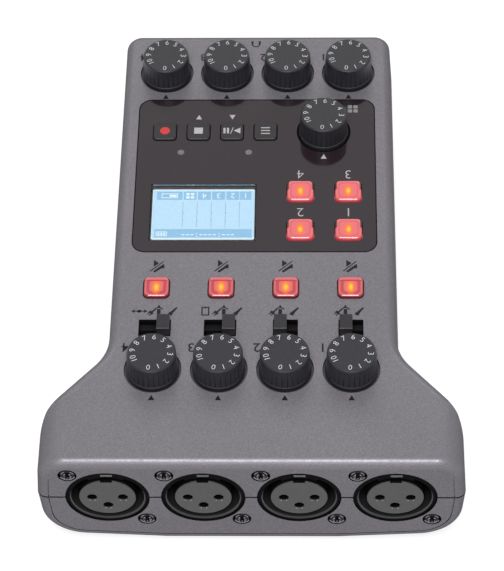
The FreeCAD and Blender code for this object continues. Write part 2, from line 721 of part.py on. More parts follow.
def make_bottom_case():
    inner = hull("lower_inner", "wall", False, softened=False)
    shell = without("lower_shell", LOWER_OUTER, [inner])
    pillars = []
    for i, (x, y) in enumerate(BOSSES):
        pillars.append(cylinder("lower_boss_%d" % i, (x, y, "foot_height"), "lower_boss", "lower_height"))
    for i, (x, y) in enumerate(FLOOR_POSTS):
        pillars.append(cylinder("floor_post_%d" % i, (x, y, "foot_height"), "post_radius",
                                MAIN_UNDER + " - foot_height"))
    added = [shell, shared("lower_pillars", joined("lower_pillar_set", pillars), LOWER_OUTER)]
    for i, (x, y) in enumerate(BAY_POSTS):
        added.append(cylinder("bay_post_%d" % i, (x, y, "bay_top + bay_wall / 2"), "post_radius",
                              MAIN_UNDER + " - bay_top - bay_wall / 2"))
    rail = ("rail_width", "%s - rail_start + cover_rear" % HALF, "rail_height - wall + rail_root")
    for side, start in (("right", "cover_half + cover_gap"), ("left", "-(cover_half + cover_gap + rail_width)")):
        added.append(box("rail_" + side, (start, "rail_start - %s" % HALF, FLOOR + " - rail_root"), rail))
    ribs = joined("lower_ribs", added)

    reach = "(cover_half + cover_gap)"
    rear = "(cover_rear + cover_gap)"
    tools = [box("cover_opening", ("-" + reach, "-%s - overrun" % HALF, "foot_height - 5"),
                 ("2 * " + reach, "%s + overrun + %s" % (HALF, rear), "cover_thick + cover_gap + 5"))]
    tongue_low = "(foot_height + cover_thick - tongue_thick)"
    slide_room = "(cover_half + tongue_reach + cover_gap)"
    start = ("-" + slide_room, "-%s - overrun" % HALF, tongue_low + " - 0.1")
    tools.append(box("tongue_grooves", start, ("2 * " + slide_room, "%s + overrun + %s" % (HALF, rear),
                                               "tongue_thick + 0.1 + cover_gap")))
    open_ribs = without("lower_open", ribs, tools)
    solid = joined("lower_solid", [open_ribs, bay_shell()])

    tools = []
    for i, (x, y) in enumerate(BOSSES):
        tools.append(cylinder("head_room_%d" % i, (x, y, "0"), "screw_head + 0.2", "foot_height + screw_sink"))
        tools.append(cylinder("lower_bore_%d" % i, (x, y, "0"), "screw_radius + 0.15",
                              "foot_height + overrun + 5"))
    for i, (x, y) in enumerate(FEET):
        tools.append(cylinder("foot_recess_%d" % i, (x, y, "0"), "foot_radius + foot_gap", "foot_top"))
    tools += socket_holes("low")
    tools.append(RIM_GROOVE)
    for number, step in CHANNELS:
        place = (step + " * dial_pitch", "-%s - 1" % HALF, "jack_height")
        tools.append(cylinder("headphone_hole_%d" % number, place, "jack_collar + 0.1", "wall + 2", "y"))
    side = "(stem_width / 2)"
    tools.append(cylinder("telephone_hole", (side + " - wall - 2", "telephone_y", "jack_height"),
                          "jack_collar + 0.1", "wall + 4", "x"))
    for name, y in (("power_port_hole", "power_port_y"), ("data_port_hole", "data_port_y")):
        low = ("-%s - 1" % side, "%s - port_width / 2 - 0.2" % y, "port_height - port_thick / 2 - 0.2")
        hole = box(name, low, ("wall + 3", "port_width + 0.4", "port_thick + 0.4"))
        tools.append(rounded(hole, "port_thick / 2 + 0.1", "x"))
    tools.append(box("card_hole", (side + " - wall - 2", "card_y - card_width / 2 - 0.5",
                                   "card_height - card_thick / 2 - 0.4"),
                     ("wall + 4", "card_width + 1", "card_thick + 0.8")))
    tools.append(box("power_hole", ("-%s - 1" % side, "power_y - (power_length + power_travel) / 2 - 0.3",
                                    "jack_height - power_thick / 2 - 0.2"),
                     ("wall + 3", "power_length + power_travel + 0.6", "power_thick + 0.4")))
    node("bottom_case", without("bottom_case", solid, tools))


def make_battery_cover():
    """The cover is cut from the same outer form as the lower shell, so it lies flush."""
    slab = box("cover_slab", ("-cover_half", "-%s - 1" % HALF, "0"),
               ("2 * cover_half", "%s + 1 + cover_rear" % HALF, "foot_height + cover_thick"))
    plate = shared("cover_plate", LOWER_OUTER, slab)
    parts = [plate]
    for name, start in (("right", "cover_half - 0.5"), ("left", "-cover_half - tongue_reach")):
        parts.append(box("tongue_" + name, (start, "tongue_front", "foot_height + cover_thick - tongue_thick"),
                         ("tongue_reach + 0.5", "cover_rear - tongue_front - 0.5", "tongue_thick")))
    solid = joined("cover_solid", parts)
    grips = []
    for i in range(round(val("grip_count"))):
        grips.append(box("grip_%d" % i, ("-grip_half", "grip_y + %d * grip_pitch" % i, "foot_height - 1"),
                         ("2 * grip_half", "grip_width", "1 + grip_depth")))
    node("battery_cover", without("battery_cover", solid, grips))


def make_feet():
    feet = []
    for i, (x, y) in enumerate(FEET):
        body = new_body("foot_%d" % i, (x, y, "0"))
        points = [("0", "0"), ("foot_radius - 0.9", "0"), ("foot_radius", "0.9"),
                  ("foot_radius", "foot_top - foot_gap"), ("0", "foot_top - foot_gap")]
        sketch = outline(body, "foot_profile_%d" % i, "XZ_Plane", [points])
        turn_profile(body, "foot_turn_%d" % i, sketch, "V_Axis")
        feet.append(body)
    node("rubber_feet", group("rubber_feet", feet))


def cross_headed(name, head, head_height, shank, length, at, rotation):
    """A screw with a cross recess: its head sits on z = 0 and its shank points down."""
    body = new_body(name, at, rotation)
    points = [("0", "-(%s)" % length), (shank, "-(%s)" % length), (shank, "0"), (head, "0"),
              (head, "(%s) * 0.55" % head_height), ("(%s) * 0.72" % head, head_height), ("0", head_height)]
    sketch = outline(body, name + "_profile", "XZ_Plane", [points])
    turn_profile(body, name + "_turn", sketch, "V_Axis")
    arm = "(%s) * 0.62" % head
    thick = "(%s) * 0.13" % head
    loops = []
    for wide, deep in ((arm, thick), (thick, arm)):
        loops.append([("-" + wide, "-" + deep), (wide, "-" + deep), (wide, deep), ("-" + wide, deep)])
    for i, points in enumerate(loops):
        cross = outline(body, name + "_cross_%d" % i, "XY_Plane", [points])
        recess = body.newObject("PartDesign::Pocket", name + "_recess_%d" % i)
        recess.Profile = cross
        recess.setExpression("Length", bound("(%s)" % head_height))
        recess.Reversed = True
    return body


def make_screws():
    down = turned(1, 0, 0, 180)
    screws = []
    for i, (x, y) in enumerate(BOSSES):
        screws.append(cross_headed("case_screw_%d" % i, "screw_head", "screw_head_height", "screw_radius",
                                   "screw_length", (x, y, "foot_height + screw_sink"), down))
    node("case_screws", group("case_screws", screws))
    outward = turned(1, 0, 0, -90)
    screws = []
    for number, step in CHANNELS:
        for name, sign in (("high", "+"), ("low", "-")):
            at = ("%s * socket_pitch %s mount_offset" % (step, sign), HALF + " - mount_seat",
                  "%s %s mount_offset" % (PARTING, sign))
            screws.append(cross_headed("socket_screw_%s_%d" % (name, number), "mount_head", "mount_seat - 0.2",
                                       "mount_shank", "mount_length", at, outward))
    node("socket_screws", group("socket_screws", screws))


def make_panel():
    plate = middle_box("panel_block", ("0", "panel_y", DECK + " - panel_thick"),
                       ("panel_width", "panel_length", "panel_thick"))
    plate = rounded(plate, "panel_corner", "z")
    low = DECK + " - panel_thick - 1"
    tools = [middle_box("lens_seat", ("display_x", "display_y", low),
                        ("display_width", "display_depth", "panel_thick + 2"))]
    tools.append(cylinder("level_well", ("level_x", "key_row", low), "well_radius", "panel_thick + 2"))
    for name, x, y, width, depth, rise, kind in button_places():
        if name.startswith("mute"):
            continue
        hole = middle_box(name + "_window", (x, y, low),
                          (width + " + 2 * button_gap", depth + " + 2 * button_gap", "panel_thick + 2"))
        tools.append(rounded(hole, kind + "_corner + button_gap", "z"))
    node("control_panel", without("control_panel", plate, tools))


def make_display():
    lens = middle_box("lcd_window", ("display_x", "display_y", DECK + " - panel_thick"),
                      ("display_width - 0.2", "display_depth - 0.2", "lens_thick"))
    node("lcd_window", lens)
    size = ("display_width + 2 * module_rim", "display_depth + 2 * module_rim")
    top = "(%s - display_drop)" % DECK
    block = middle_box("module_block", ("display_x", "display_y", top + " - module_height"),
                       size + ("module_height",))
    legs = [block]
    for i, (across, along) in enumerate((("+", "+"), ("+", "-"), ("-", "+"), ("-", "-"))):
        x = "display_x %s (display_width / 2 - 1)" % across
        y = "display_y %s (display_depth / 2 - 1)" % along
        legs.append(cylinder("module_leg_%d" % i, (x, y, CONTROL_TOP), "1.4",
                             "%s - module_height - %s + 0.5" % (top, CONTROL_TOP)))
    node("lcd_module", joined("lcd_module", legs))


def make_dial(name, x, y):
    """A tapered cap with flutes, hollow below, on a hub that takes the shaft."""
    body = new_body(name, (x, y, DECK + " - dial_sink"))
    hub = "dial_hub_radius"
    inside = "(dial_top_radius - dial_shell)"
    roof = "(dial_height - 1.5)"
    bore = "(shaft_radius + 0.02)"
    bore_end = "(dial_height - 2)"
    points = [("0", bore_end), (bore, bore_end), (bore, "0"), (hub, "0"), (hub, roof), (inside, roof),
              (inside, "0"), ("dial_foot_radius", "0"), ("dial_foot_radius", "dial_skirt"),
              ("dial_foot_radius - 0.15", "dial_skirt + 0.2"), ("dial_top_radius", "dial_height - 0.4"),
              ("dial_top_radius - 0.35", "dial_height"), ("0", "dial_height")]
    sketch = outline(body, name + "_profile", "XZ_Plane", [points])
    turn_profile(body, name + "_turn", sketch, "V_Axis")
    doc.recompute()
    floor = "(dial_foot_radius - flute_depth - 0.15)"
    flute = outline(body, name + "_flute", "XY_Plane",
                    [[("dial_foot_radius + 0.3", "-flute_half"), ("dial_foot_radius + 0.3", "flute_half"),
                      (floor, "0")]])
    flute.setExpression("AttachmentOffset.Base.z", bound("dial_skirt + 0.2"))
    groove = body.newObject("PartDesign::Pocket", name + "_groove")
    groove.Profile = flute
    groove.Reversed = True
    groove.setExpression("Length", bound("dial_height"))
    doc.recompute()
    ring = body.newObject("PartDesign::PolarPattern", name + "_flutes")
    ring.Originals = [groove]
    ring.Axis = (origin_item(body, "Z_Axis"), [""])
    ring.Angle = 360
    ring.setExpression("Occurrences", bound("flute_count"))
    body.Tip = ring
    return body


def make_dials():
    pots = []
    for name, x, y in dial_places():
        node(name, make_dial(name, x, y))
        shaft_name = name.replace("knob", "shaft")
        shaft_top = "(%s - dial_sink + dial_height - 2 - 0.1)" % DECK
        rod = cylinder(shaft_name + "_rod", (x, y, shaft_top + " - shaft_length"), "shaft_radius",
                       "shaft_length")
        flat = box(shaft_name + "_flat", ("%s + shaft_flat" % x, "%s - shaft_radius" % y, shaft_top + " - 5"),
                   ("shaft_radius", "2 * shaft_radius", "6"))
        node(shaft_name, without(shaft_name, rod, [flat]))
        can = middle_box(name + "_can", (x, y, CONTROL_TOP), ("pot_width", "pot_depth", "pot_height"))
        bush = cylinder(name + "_bush", (x, y, CONTROL_TOP), "bush_radius", "pot_height + bush_height")
        bore = cylinder(name + "_bore", (x, y, "%s - shaft_length - 0.2" % shaft_top),
                        "shaft_radius + shaft_fit", "shaft_length")
        pots.append(without(name + "_pot", joined(name + "_pot_block", [can, bush]), [bore]))
    node("potentiometers", group("potentiometers", pots))


def make_buttons():
    tacts = []
    for name, x, y, width, depth, rise, kind in button_places():
        under = "(%s - 0.2)" % DECK_UNDER
        cap = middle_box(name + "_cap", (x, y, under + " - flange_thick / 2"),
                         (width, depth, "wall + 0.2 + flange_thick / 2 + " + rise))
        cap = rounded(cap, kind + "_corner", "z")
        doc.recompute()
        top_level = cap.Shape.BoundBox.ZMax
        soft = doc.addObject("Part::Fillet", name + "_soft")
        soft.Base = cap
        names = pick(cap.Shape, lambda edge: edge.BoundBox.ZMin > top_level - 0.01)
        soft.Edges = [(int(item[4:]), val(kind + "_edge"), val(kind + "_edge")) for item in names]
        flange = middle_box(name + "_flange", (x, y, under + " - flange_thick"),
                            (width + " + 2 * button_flange", depth + " + 2 * button_flange", "flange_thick"))
        plunger_top = "(%s + tact_height + 0.6)" % CONTROL_TOP
        stem_low = "(%s + button_travel + press_gap)" % plunger_top
        stem = middle_box(name + "_stem", (x, y, stem_low),
                          ("stem_size", "stem_size", "%s - flange_thick / 2 - %s" % (under, stem_low)))
        node(name, joined(name, [soft, flange, stem]))
        tact = middle_box(name + "_tact", (x, y, CONTROL_TOP), ("tact_size", "tact_size", "tact_height"))
        plunger = cylinder(name + "_plunger", (x, y, CONTROL_TOP), "tact_plunger", "tact_height + 0.6")
        tacts.append(joined(name + "_switch", [tact, plunger]))
    node("tact_switches", group("tact_switches", tacts))


def make_slides():
    bodies = []
    for number, x, slot, rest in slide_places():
        name = "input_switch_%d" % number
        place = "(%s %s ((%s - lever_width) / 2 - lever_gap))" % (x, rest, slot)
        cap = middle_box(name + "_cap", (place, "slide_row", DECK_UNDER + " + 0.4"),
                         ("lever_width", "lever_depth", "wall - 0.4 + lever_raise"))
        cap = rounded(cap, "0.5", "x")
        stem_low = DECK_UNDER + " - switch_gap - switch_slot + 0.3"
        stem = middle_box(name + "_stem", (place, "slide_row", stem_low),
                          ("lever_stem", "lever_stem", "switch_gap + switch_slot + 0.5"))
        node(name, joined(name, [cap, stem]))
        height = "(control_drop - switch_gap)"
        block = middle_box(name + "_block", (x, "slide_row", CONTROL_TOP),
                           ("switch_width", "switch_depth", height))
        track = middle_box(name + "_track", (x, "slide_row", "%s + %s - switch_slot" % (CONTROL_TOP, height)),
                           (slot, "lever_stem + 0.4", "switch_slot + 1"))
        bodies.append(without(name + "_body", block, [track]))

    wall_out = "(stem_width / 2 - (%s - jack_height) * tan(lower_draft))" % PARTING
    rest_y = "(power_y - power_travel / 2)"
    knob = box("power_knob", ("-(%s + power_proud)" % wall_out, rest_y + " - power_length / 2",
                              "jack_height - power_thick / 2"),
               ("power_proud + wall + 1.4", "power_length", "power_thick"))
    node("power_switch", rounded(knob, "0.5", "x"))
    face = "(%s - wall - 0.4)" % wall_out
    block = box("power_block", ("-" + face, "power_y - 6.5", "%s - 5.6" % MAIN_UNDER), ("5", "13", "5.6"))
    track = box("power_track", ("-%s - 1" % face, "power_y - (power_length + power_travel) / 2 - 0.3",
                                "jack_height - power_thick / 2 - 0.2"),
                ("2.4", "power_length + power_travel + 0.6", "power_thick + 0.4"))
    bodies.append(without("power_body", block, [track]))
    node("slide_switches", group("slide_switches", bodies))


def make_boards():
    """The control board under the deck and the main board over the battery bay."""
    control = box("control_plate", ("-control_width / 2", "control_front", CONTROL_TOP + " - board_thick"),
                  ("control_width", "control_rear - control_front", "board_thick"))
    main = box("main_plate", ("-main_width / 2", "main_front", MAIN_UNDER),
               ("main_width", "main_rear - main_front", "board_thick"))
    boards = []
    for name, plate, level, boss in (("control_board", control, CONTROL_TOP, "upper_boss"),
                                     ("main_board", main, MAIN_UNDER, "lower_boss")):
        holes = []
        for i, (x, y) in enumerate(BOSSES):
            holes.append(cylinder("%s_hole_%d" % (name, i), (x, y, level + " - 5"), boss + " + 0.3", "10"))
        boards.append(without(name, plate, holes))
    node("circuit_boards", group("circuit_boards", boards))


CONTACTS = (("+ contact_spread", "0"), ("- contact_spread", "0"), ("", "contact_low"))


def make_socket(number, step):
    """The housing of a microphone socket: a round barrel with a square flange behind the wall."""
    name = "xlr_socket_%d" % number
    x = step + " * socket_pitch"
    body = new_body(name + "_barrel", (x, HALF, PARTING), turned(1, 0, 0, -90))
    points = [("socket_bore", "-socket_length"), ("socket_ring", "-socket_length"),
              ("socket_ring", "-socket_inset"), ("socket_bore", "-socket_inset")]
    sketch = outline(body, name + "_profile", "XZ_Plane", [points])
    turn_profile(body, name + "_turn", sketch, "V_Axis")
    flange_back = "%s - wall - 0.1 - flange_depth" % HALF
    plate = middle_box(name + "_flange", (x, flange_back + " + flange_depth / 2", PARTING + " - flange_half"),
                       ("2 * flange_half", "flange_depth", "2 * flange_half"))
    hole = cylinder(name + "_flange_hole", (x, flange_back + " - 1", PARTING),
                    "socket_ring - 0.5", "flange_depth + 2", "y")
    solid = joined(name + "_solid", [body, without(name + "_flange_ring", plate, [hole])])
    window = (x + " - latch_window / 2", HALF + " - wall - 0.6", PARTING + " + socket_bore - 1.6")
    tools = [box(name + "_window", window, ("latch_window", "wall + 2", "4"))]
    for sign in ("+", "-"):
        place = ("%s %s mount_offset" % (x, sign), flange_back + " - 1", "%s %s mount_offset" % (PARTING, sign))
        tools.append(cylinder("%s_thread_%s" % (name, "high" if sign == "+" else "low"), place,
                              "mount_shank + shaft_fit", "flange_depth + 2", "y"))
    node(name, without(name, solid, tools))


def make_inserts():
    """The moulded core of each microphone socket and the retainer that closes the groove behind it."""
    inserts = []
    for number, step in CHANNELS:
        name = "xlr_core_%d" % number
        x = step + " * socket_pitch"
        body = new_body(name + "_turned", (x, HALF, PARTING), turned(1, 0, 0, -90))
        points = [("0", "-groove_depth"), ("socket_insert", "-groove_depth"),
                  ("socket_insert", "-insert_inset - 0.4"), ("socket_insert - 0.4", "-insert_inset"),
                  ("0", "-insert_inset")]
        sketch = outline(body, name + "_profile", "XZ_Plane", [points])
        turn_profile(body, name + "_turn", sketch, "V_Axis")
        back = HALF + " - socket_depth"
        disc = cylinder("xlr_retainer_%d_disc" % number, (x, back, PARTING), "socket_bore - insert_gap",
                        "socket_depth - groove_depth", "y")
        holes = [box(name + "_key", (x + " - key_width_xlr / 2", back, PARTING + " + socket_insert - 1.4"),
                     ("key_width_xlr", "socket_depth + 1", "2.2"))]
        tails = []
        for i, (across, down) in enumerate(CONTACTS):
            place = ("%s %s" % (x, across), back + " - 1", "%s - %s" % (PARTING, down))
            holes.append(cylinder("%s_hole_%d" % (name, i), place, "contact_hole", "socket_depth + 2", "y"))
            tails.append(cylinder("%s_tail_%d" % (name, i), place, "tail_radius + contact_gap",
                                  "socket_depth + 2", "y"))
        inserts.append(without(name, body, holes))
        inserts.append(without("xlr_retainer_%d" % number, disc, tails))
    node("xlr_inserts", group("xlr_inserts", inserts))


def make_contacts():
    """Three sprung sleeves and one latch bar in each socket."""
    metal = []
    for number, step in CHANNELS:
        x = step + " * socket_pitch"
        for i, (across, down) in enumerate(CONTACTS):
            label = "contact_%d_%d" % (number, i)
            z = "%s - %s" % (PARTING, down)
            radius = "contact_hole - contact_gap"
            sleeve = cylinder(label + "_sleeve", ("%s %s" % (x, across), HALF + " - groove_depth", z), radius,
                              "groove_depth - insert_inset - contact_sink", "y")
            tail = cylinder(label + "_tail", ("%s %s" % (x, across), HALF + " - socket_depth - tail_proud", z),
                            "tail_radius", "socket_depth - groove_depth + tail_proud + 1", "y")
            bore = cylinder(label + "_bore", ("%s %s" % (x, across), HALF + " - groove_depth + 2", z),
                            "contact_bore", "groove_depth", "y")
            metal.append(without(label, joined(label + "_rod", [sleeve, tail]), [bore]))
        latch = (x + " - 1.5", HALF + " - wall - 0.6", PARTING + " + socket_bore - 1.2")
        metal.append(box("latch_%d" % number, latch, ("3", "1.4", "0.5")))
    node("xlr_contacts", group("xlr_contacts", metal))


def make_jack(name, at, rotation):
    """A small round socket whose mouth lies on z = 0 and points up, before it is turned."""
    body = new_body(name, at, rotation)
    collar_length = "(wall - jack_inset + 0.1 + jack_width / 2 * tan(lower_draft))"
    half = "jack_width / 2"
    sketch = outline(body, name + "_side", "XY_Plane",
                     [[("-" + half, "-" + half), (half, "-" + half), (half, half), ("-" + half, half)]])
    sketch.setExpression("AttachmentOffset.Base.z", bound("-" + collar_length))
    pad(body, name + "_block", sketch, "jack_length", backwards=True)
    doc.recompute()
    collar = new_sketch(body, name + "_collar_ring", "XY_Plane")
    add_circle(collar, "jack_collar")
    pad(body, name + "_collar", collar, collar_length + " + 0.5", backwards=True)
    doc.recompute()
    mouth = new_sketch(body, name + "_mouth", "XY_Plane")
    add_circle(mouth, "jack_bore")
    bore = body.newObject("PartDesign::Pocket", name + "_bore")
    bore.Profile = mouth
    bore.setExpression("Length", bound("jack_bore_length"))
    return body


def add_circle(sketch, radius):
    sketch.addGeometry(Part.Circle(FreeCAD.Vector(0, 0, 0), FreeCAD.Vector(0, 0, 1), val(radius)), False)
    sketch.addConstraint(Sketcher.Constraint("Coincident", 0, 3, -1, 1))
    index = sketch.addConstraint(Sketcher.Constraint("Radius", 0, val(radius)))
    sketch.setExpression("Constraints[%d]" % index, bound(radius))


def make_side_sockets():
    jacks = []
    for number, step in CHANNELS:
        at = (step + " * dial_pitch", "-%s + jack_inset" % HALF, "jack_height")
        jacks.append(make_jack("headphone_jack_%d" % number, at, turned(1, 0, 0, 90)))
    node("headphone_jacks", group("headphone_jacks", jacks))
    wall_out = "(stem_width / 2 - (%s - jack_height) * tan(lower_draft))" % PARTING
    at = (wall_out + " - jack_inset", "telephone_y", "jack_height")
    node("phone_jack", make_jack("phone_jack", at, turned(0, 1, 0, 90)))

    ports = []
    for name, y in (("power_port", "power_port_y"), ("data_port", "data_port_y")):
        low = ("-(%s - 0.5)" % wall_out, "%s - port_width / 2" % y, "port_height - port_thick / 2")
        shell = box(name + "_shell", low, ("port_depth", "port_width", "port_thick"))
        shell = rounded(shell, "port_thick / 2 - 0.02", "x")
        inner = box(name + "_room", ("%s - 1" % low[0], low[1] + " + port_metal", low[2] + " + port_metal"),
                    ("port_depth", "port_width - 2 * port_metal", "port_thick - 2 * port_metal"))
        inner = rounded(inner, "port_thick / 2 - port_metal - 0.02", "x")
        hollow = without(name + "_hollow", shell, [inner])
        tongue = box(name + "_tongue", ("%s + 0.8" % low[0], "%s - 3.35" % y, "port_height - 0.35"),
                     ("port_depth - 1", "6.7", "0.7"))
        legs = box(name + "_legs", ("%s + 2" % low[0], "%s - 2.5" % y, "port_height + port_thick / 2 - 0.1"),
                   ("4", "5", "%s - port_height - port_thick / 2 + 0.1" % MAIN_UNDER))
        ports.append(joined(name, [hollow, tongue, legs]))
    node("usb_ports", group("usb_ports", ports))

    depth = "card_depth"
    low = ("%s - wall - %s - 0.1" % (wall_out, depth), "card_y - card_width / 2 - 1",
           "card_height - card_thick / 2 - 0.5")
    block = box("card_block", low, (depth, "card_width + 2", "%s - (%s)" % (MAIN_UNDER, low[2])))
    room = box("card_room", (low[0] + " + 1.5", "card_y - card_width / 2", "card_height - card_thick / 2"),
               (depth, "card_width", "card_thick"))
    node("card_slot", without("card_slot", block, [room]))


def make_battery():
    middle = "((bay_front + bay_rear) / 2)"
    cells = []
    leaves = []
    height = "(foot_height + cover_thick + 0.3 + cell_radius)"
    for i, (side, way) in enumerate((("", 1), ("-", -1))):
        turn = turned(1, 0, 0, -90 * way)
        body = new_body("cell_%d" % i, (side + "cell_pitch / 2", middle, height), turn)
        half = "cell_length / 2"
        points = [("0", "-" + half), ("cell_radius - 0.4", "-" + half), ("cell_radius", "-%s + 0.4" % half),
                  ("cell_radius", half + " - 1.8"), ("cell_radius - 0.6", half + " - 1.3"),
                  ("2.75", half + " - 1.3"), ("2.75", half), ("0", half)]
        sketch = outline(body, "cell_profile_%d" % i, "XZ_Plane", [points])
        turn_profile(body, "cell_turn_%d" % i, sketch, "V_Axis")
        cells.append(body)
        for end in (1, -1):
            room = "((bay_rear - bay_front) / 2 - 0.1)"
            tip = "(cell_length / 2 + 0.1)"
            strip = new_body("leaf_%d_%s" % (i, "rear" if end > 0 else "front"),
                             (side + "cell_pitch / 2 - 3", middle, height))
            sign = "" if end > 0 else "-"
            points = [(sign + room, "-5.5"), (sign + room, "5.5"), ("%s(%s - 0.4)" % (sign, room), "5.5"),
                      ("%s(%s + 0.05)" % (sign, tip), "1"), ("%s(%s + 0.05)" % (sign, tip), "-1"),
                      ("%s(%s + 0.4)" % (sign, tip), "-1.2"), ("%s(%s + 0.4)" % (sign, tip), "0.9"),
                      ("%s(%s - 0.4)" % (sign, room), "4.8"), ("%s(%s - 0.4)" % (sign, room), "-5.5")]
            sketch = outline(strip, strip.Name + "_profile", "YZ_Plane", [points])
            pad(strip, strip.Name + "_strip", sketch, "6")
            leaves.append(strip)
    node("battery_cells", group("battery_cells", cells))
    node("battery_contacts", group("battery_contacts", leaves))


def check_and_write():
    doc.recompute()
    faults = []
    for item in doc.Objects:
        if "Invalid" in item.State or "Error" in item.State:
            faults.append("%s is %s" % (item.Name, item.State))
    for item in NODES:
        if item.Shape.isNull() or not item.Shape.isValid():
            faults.append("%s has no valid shape" % item.Label)
    if faults:
        raise RuntimeError("; ".join(faults))
    os.makedirs("parts", exist_ok=True)
    for item in NODES:
        item.Shape.exportStep("parts/%s.step" % item.Label)
    print("%d nodes, %d solids" % (len(NODES), sum(len(item.Shape.Solids) for item in NODES)))


RIM_GROOVE = rim_groove()
LOWER_OUTER = hull("lower_outer", "0", False)
make_top_case()
make_bottom_case()
make_battery_cover()
make_feet()
make_screws()
make_panel()
make_display()
make_dials()
make_buttons()
make_slides()
make_boards()
for number, step in CHANNELS:
    make_socket(number, step)
make_inserts()
make_contacts()
make_side_sockets()
make_battery()
check_and_write()
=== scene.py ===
import bpy
import bmesh
import math
from mathutils import Matrix, Vector

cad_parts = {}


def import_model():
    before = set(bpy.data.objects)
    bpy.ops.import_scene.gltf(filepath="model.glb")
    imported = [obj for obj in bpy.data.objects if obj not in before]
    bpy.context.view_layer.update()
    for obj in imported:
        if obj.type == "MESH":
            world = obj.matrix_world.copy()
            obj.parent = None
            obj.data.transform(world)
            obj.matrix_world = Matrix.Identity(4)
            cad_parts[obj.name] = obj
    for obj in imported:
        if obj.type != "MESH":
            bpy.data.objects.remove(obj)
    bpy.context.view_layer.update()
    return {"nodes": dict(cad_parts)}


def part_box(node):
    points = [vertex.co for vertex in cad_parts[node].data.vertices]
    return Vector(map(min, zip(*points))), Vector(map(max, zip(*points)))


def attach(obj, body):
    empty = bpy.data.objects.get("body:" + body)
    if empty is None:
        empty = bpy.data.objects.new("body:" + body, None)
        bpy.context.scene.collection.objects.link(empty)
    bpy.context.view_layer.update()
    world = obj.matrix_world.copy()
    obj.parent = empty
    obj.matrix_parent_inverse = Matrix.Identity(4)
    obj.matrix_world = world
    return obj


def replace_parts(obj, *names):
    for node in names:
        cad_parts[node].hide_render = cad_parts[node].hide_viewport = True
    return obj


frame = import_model()
NODES = frame["nodes"]
MM = 0.001
CHANNELS = (1, 2, 3, 4)
INK = 0.02


def span(node):
    """Lowest and highest corner of a node at rest, in millimetres."""
    low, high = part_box(node)
    return Vector(low) / MM, Vector(high) / MM


def over(node):
    """Middle of a node seen from above, in millimetres."""
    low, high = span(node)
    return (low.x + high.x) / 2, (low.y + high.y) / 2


DECK = span("control_panel")[1].z
DIAL_TOP = span("gain_knob_1")[1].z
KEY_TOP = span("menu_key")[1].z


# Materials

class Material:
    """A material with a Principled shader and short ways to add nodes to it."""

    def __init__(self, name, color, rough, metal=0.0, **more):
        self.made = bpy.data.materials.new(name)
        self.made.use_nodes = True
        self.tree = self.made.node_tree
        self.shader = self.tree.nodes["Principled BSDF"]
        self.shader.inputs["Base Color"].default_value = (*color, 1)
        self.shader.inputs["Roughness"].default_value = rough
        self.shader.inputs["Metallic"].default_value = metal
        for socket, value in more.items():
            self.shader.inputs[socket.replace("_", " ")].default_value = value
        self.where = None

    def add(self, kind, **settings):
        node = self.tree.nodes.new(kind)
        for key, value in settings.items():
            setattr(node, key, value)
        return node

    def link(self, a, b):
        self.tree.links.new(a, b)

    def place(self):
        if self.where is None:
            self.where = self.add("ShaderNodeTexCoord").outputs["Object"]
        return self.where

    def noise(self, scale, detail):
        node = self.add("ShaderNodeTexNoise")
        node.inputs["Scale"].default_value = scale
        node.inputs["Detail"].default_value = detail
        self.link(self.place(), node.inputs["Vector"])
        return node.outputs["Fac"]

    def ramp(self, value, stops):
        node = self.add("ShaderNodeValToRGB")
        points = node.color_ramp.elements
        while len(points) < len(stops):
            points.new(0.5)
        for point, (at, color) in zip(points, stops):
            point.position = at
            point.color = (*color, 1)
        self.link(value, node.inputs["Fac"])
        return node.outputs["Color"]

    def grey(self, value, stops):
        """A ramp of plain values, to scale or steer other values."""
        return self.ramp(value, [(at, (g, g, g)) for at, g in stops])

    def mix(self, factor, a, b, kind="MIX"):
        node = self.add("ShaderNodeMix", data_type="RGBA", blend_type=kind)
        for socket, value in ((0, factor), (6, a), (7, b)):
            if isinstance(value, (int, float)):
                node.inputs[socket].default_value = value
            elif isinstance(value, tuple):
                node.inputs[socket].default_value = (*value, 1)
            else:
                self.link(value, node.inputs[socket])
        return node.outputs[2]

    def math(self, operation, a, b=0.0):
        node = self.add("ShaderNodeMath", operation=operation)
        for socket, value in enumerate((a, b)):
            if isinstance(value, (int, float)):
                node.inputs[socket].default_value = value
            else:
                self.link(value, node.inputs[socket])
        return node.outputs[0]

    def bump(self, height, strength, distance):
        node = self.add("ShaderNodeBump")
        node.inputs["Strength"].default_value = strength
        node.inputs["Distance"].default_value = distance
        self.link(height, node.inputs["Height"])
        self.link(node.outputs["Normal"], self.shader.inputs["Normal"])

    def color(self, value):
        self.link(value, self.shader.inputs["Base Color"])

    def rough(self, value):
        self.link(value, self.shader.inputs["Roughness"])

    def glow(self, value):
        self.link(value, self.shader.inputs["Emission Color"])
        self.shader.inputs["Emission Strength"].default_value = 1.0


LACQUER = (0.214, 0.203, 0.224)
# Near black colour of the painted shade
PAINTED_SHADE = (0.008, 0.008, 0.009)
# Where the shells get painted shade, in millimetres; TOP and the two FLOORs are depths under the deck
OPENINGS_X, OPENINGS_Y = 35.5, 71
OPENINGS_TOP, OPENINGS_FLOOR = 0.15, 8
WELL_FLOOR, WELL_MARGIN = 0.8, 0.02
SEAM, SEAM_HALF = 23.2, 0.26
REAR_OPENINGS = 76.0
# Share of lacquer that the painted shade leaves on the floors of the dial wells, and how little a wall
# of a groove faces the rear
WELL_LACQUER = 0.3
WALL_FACING = 0.3


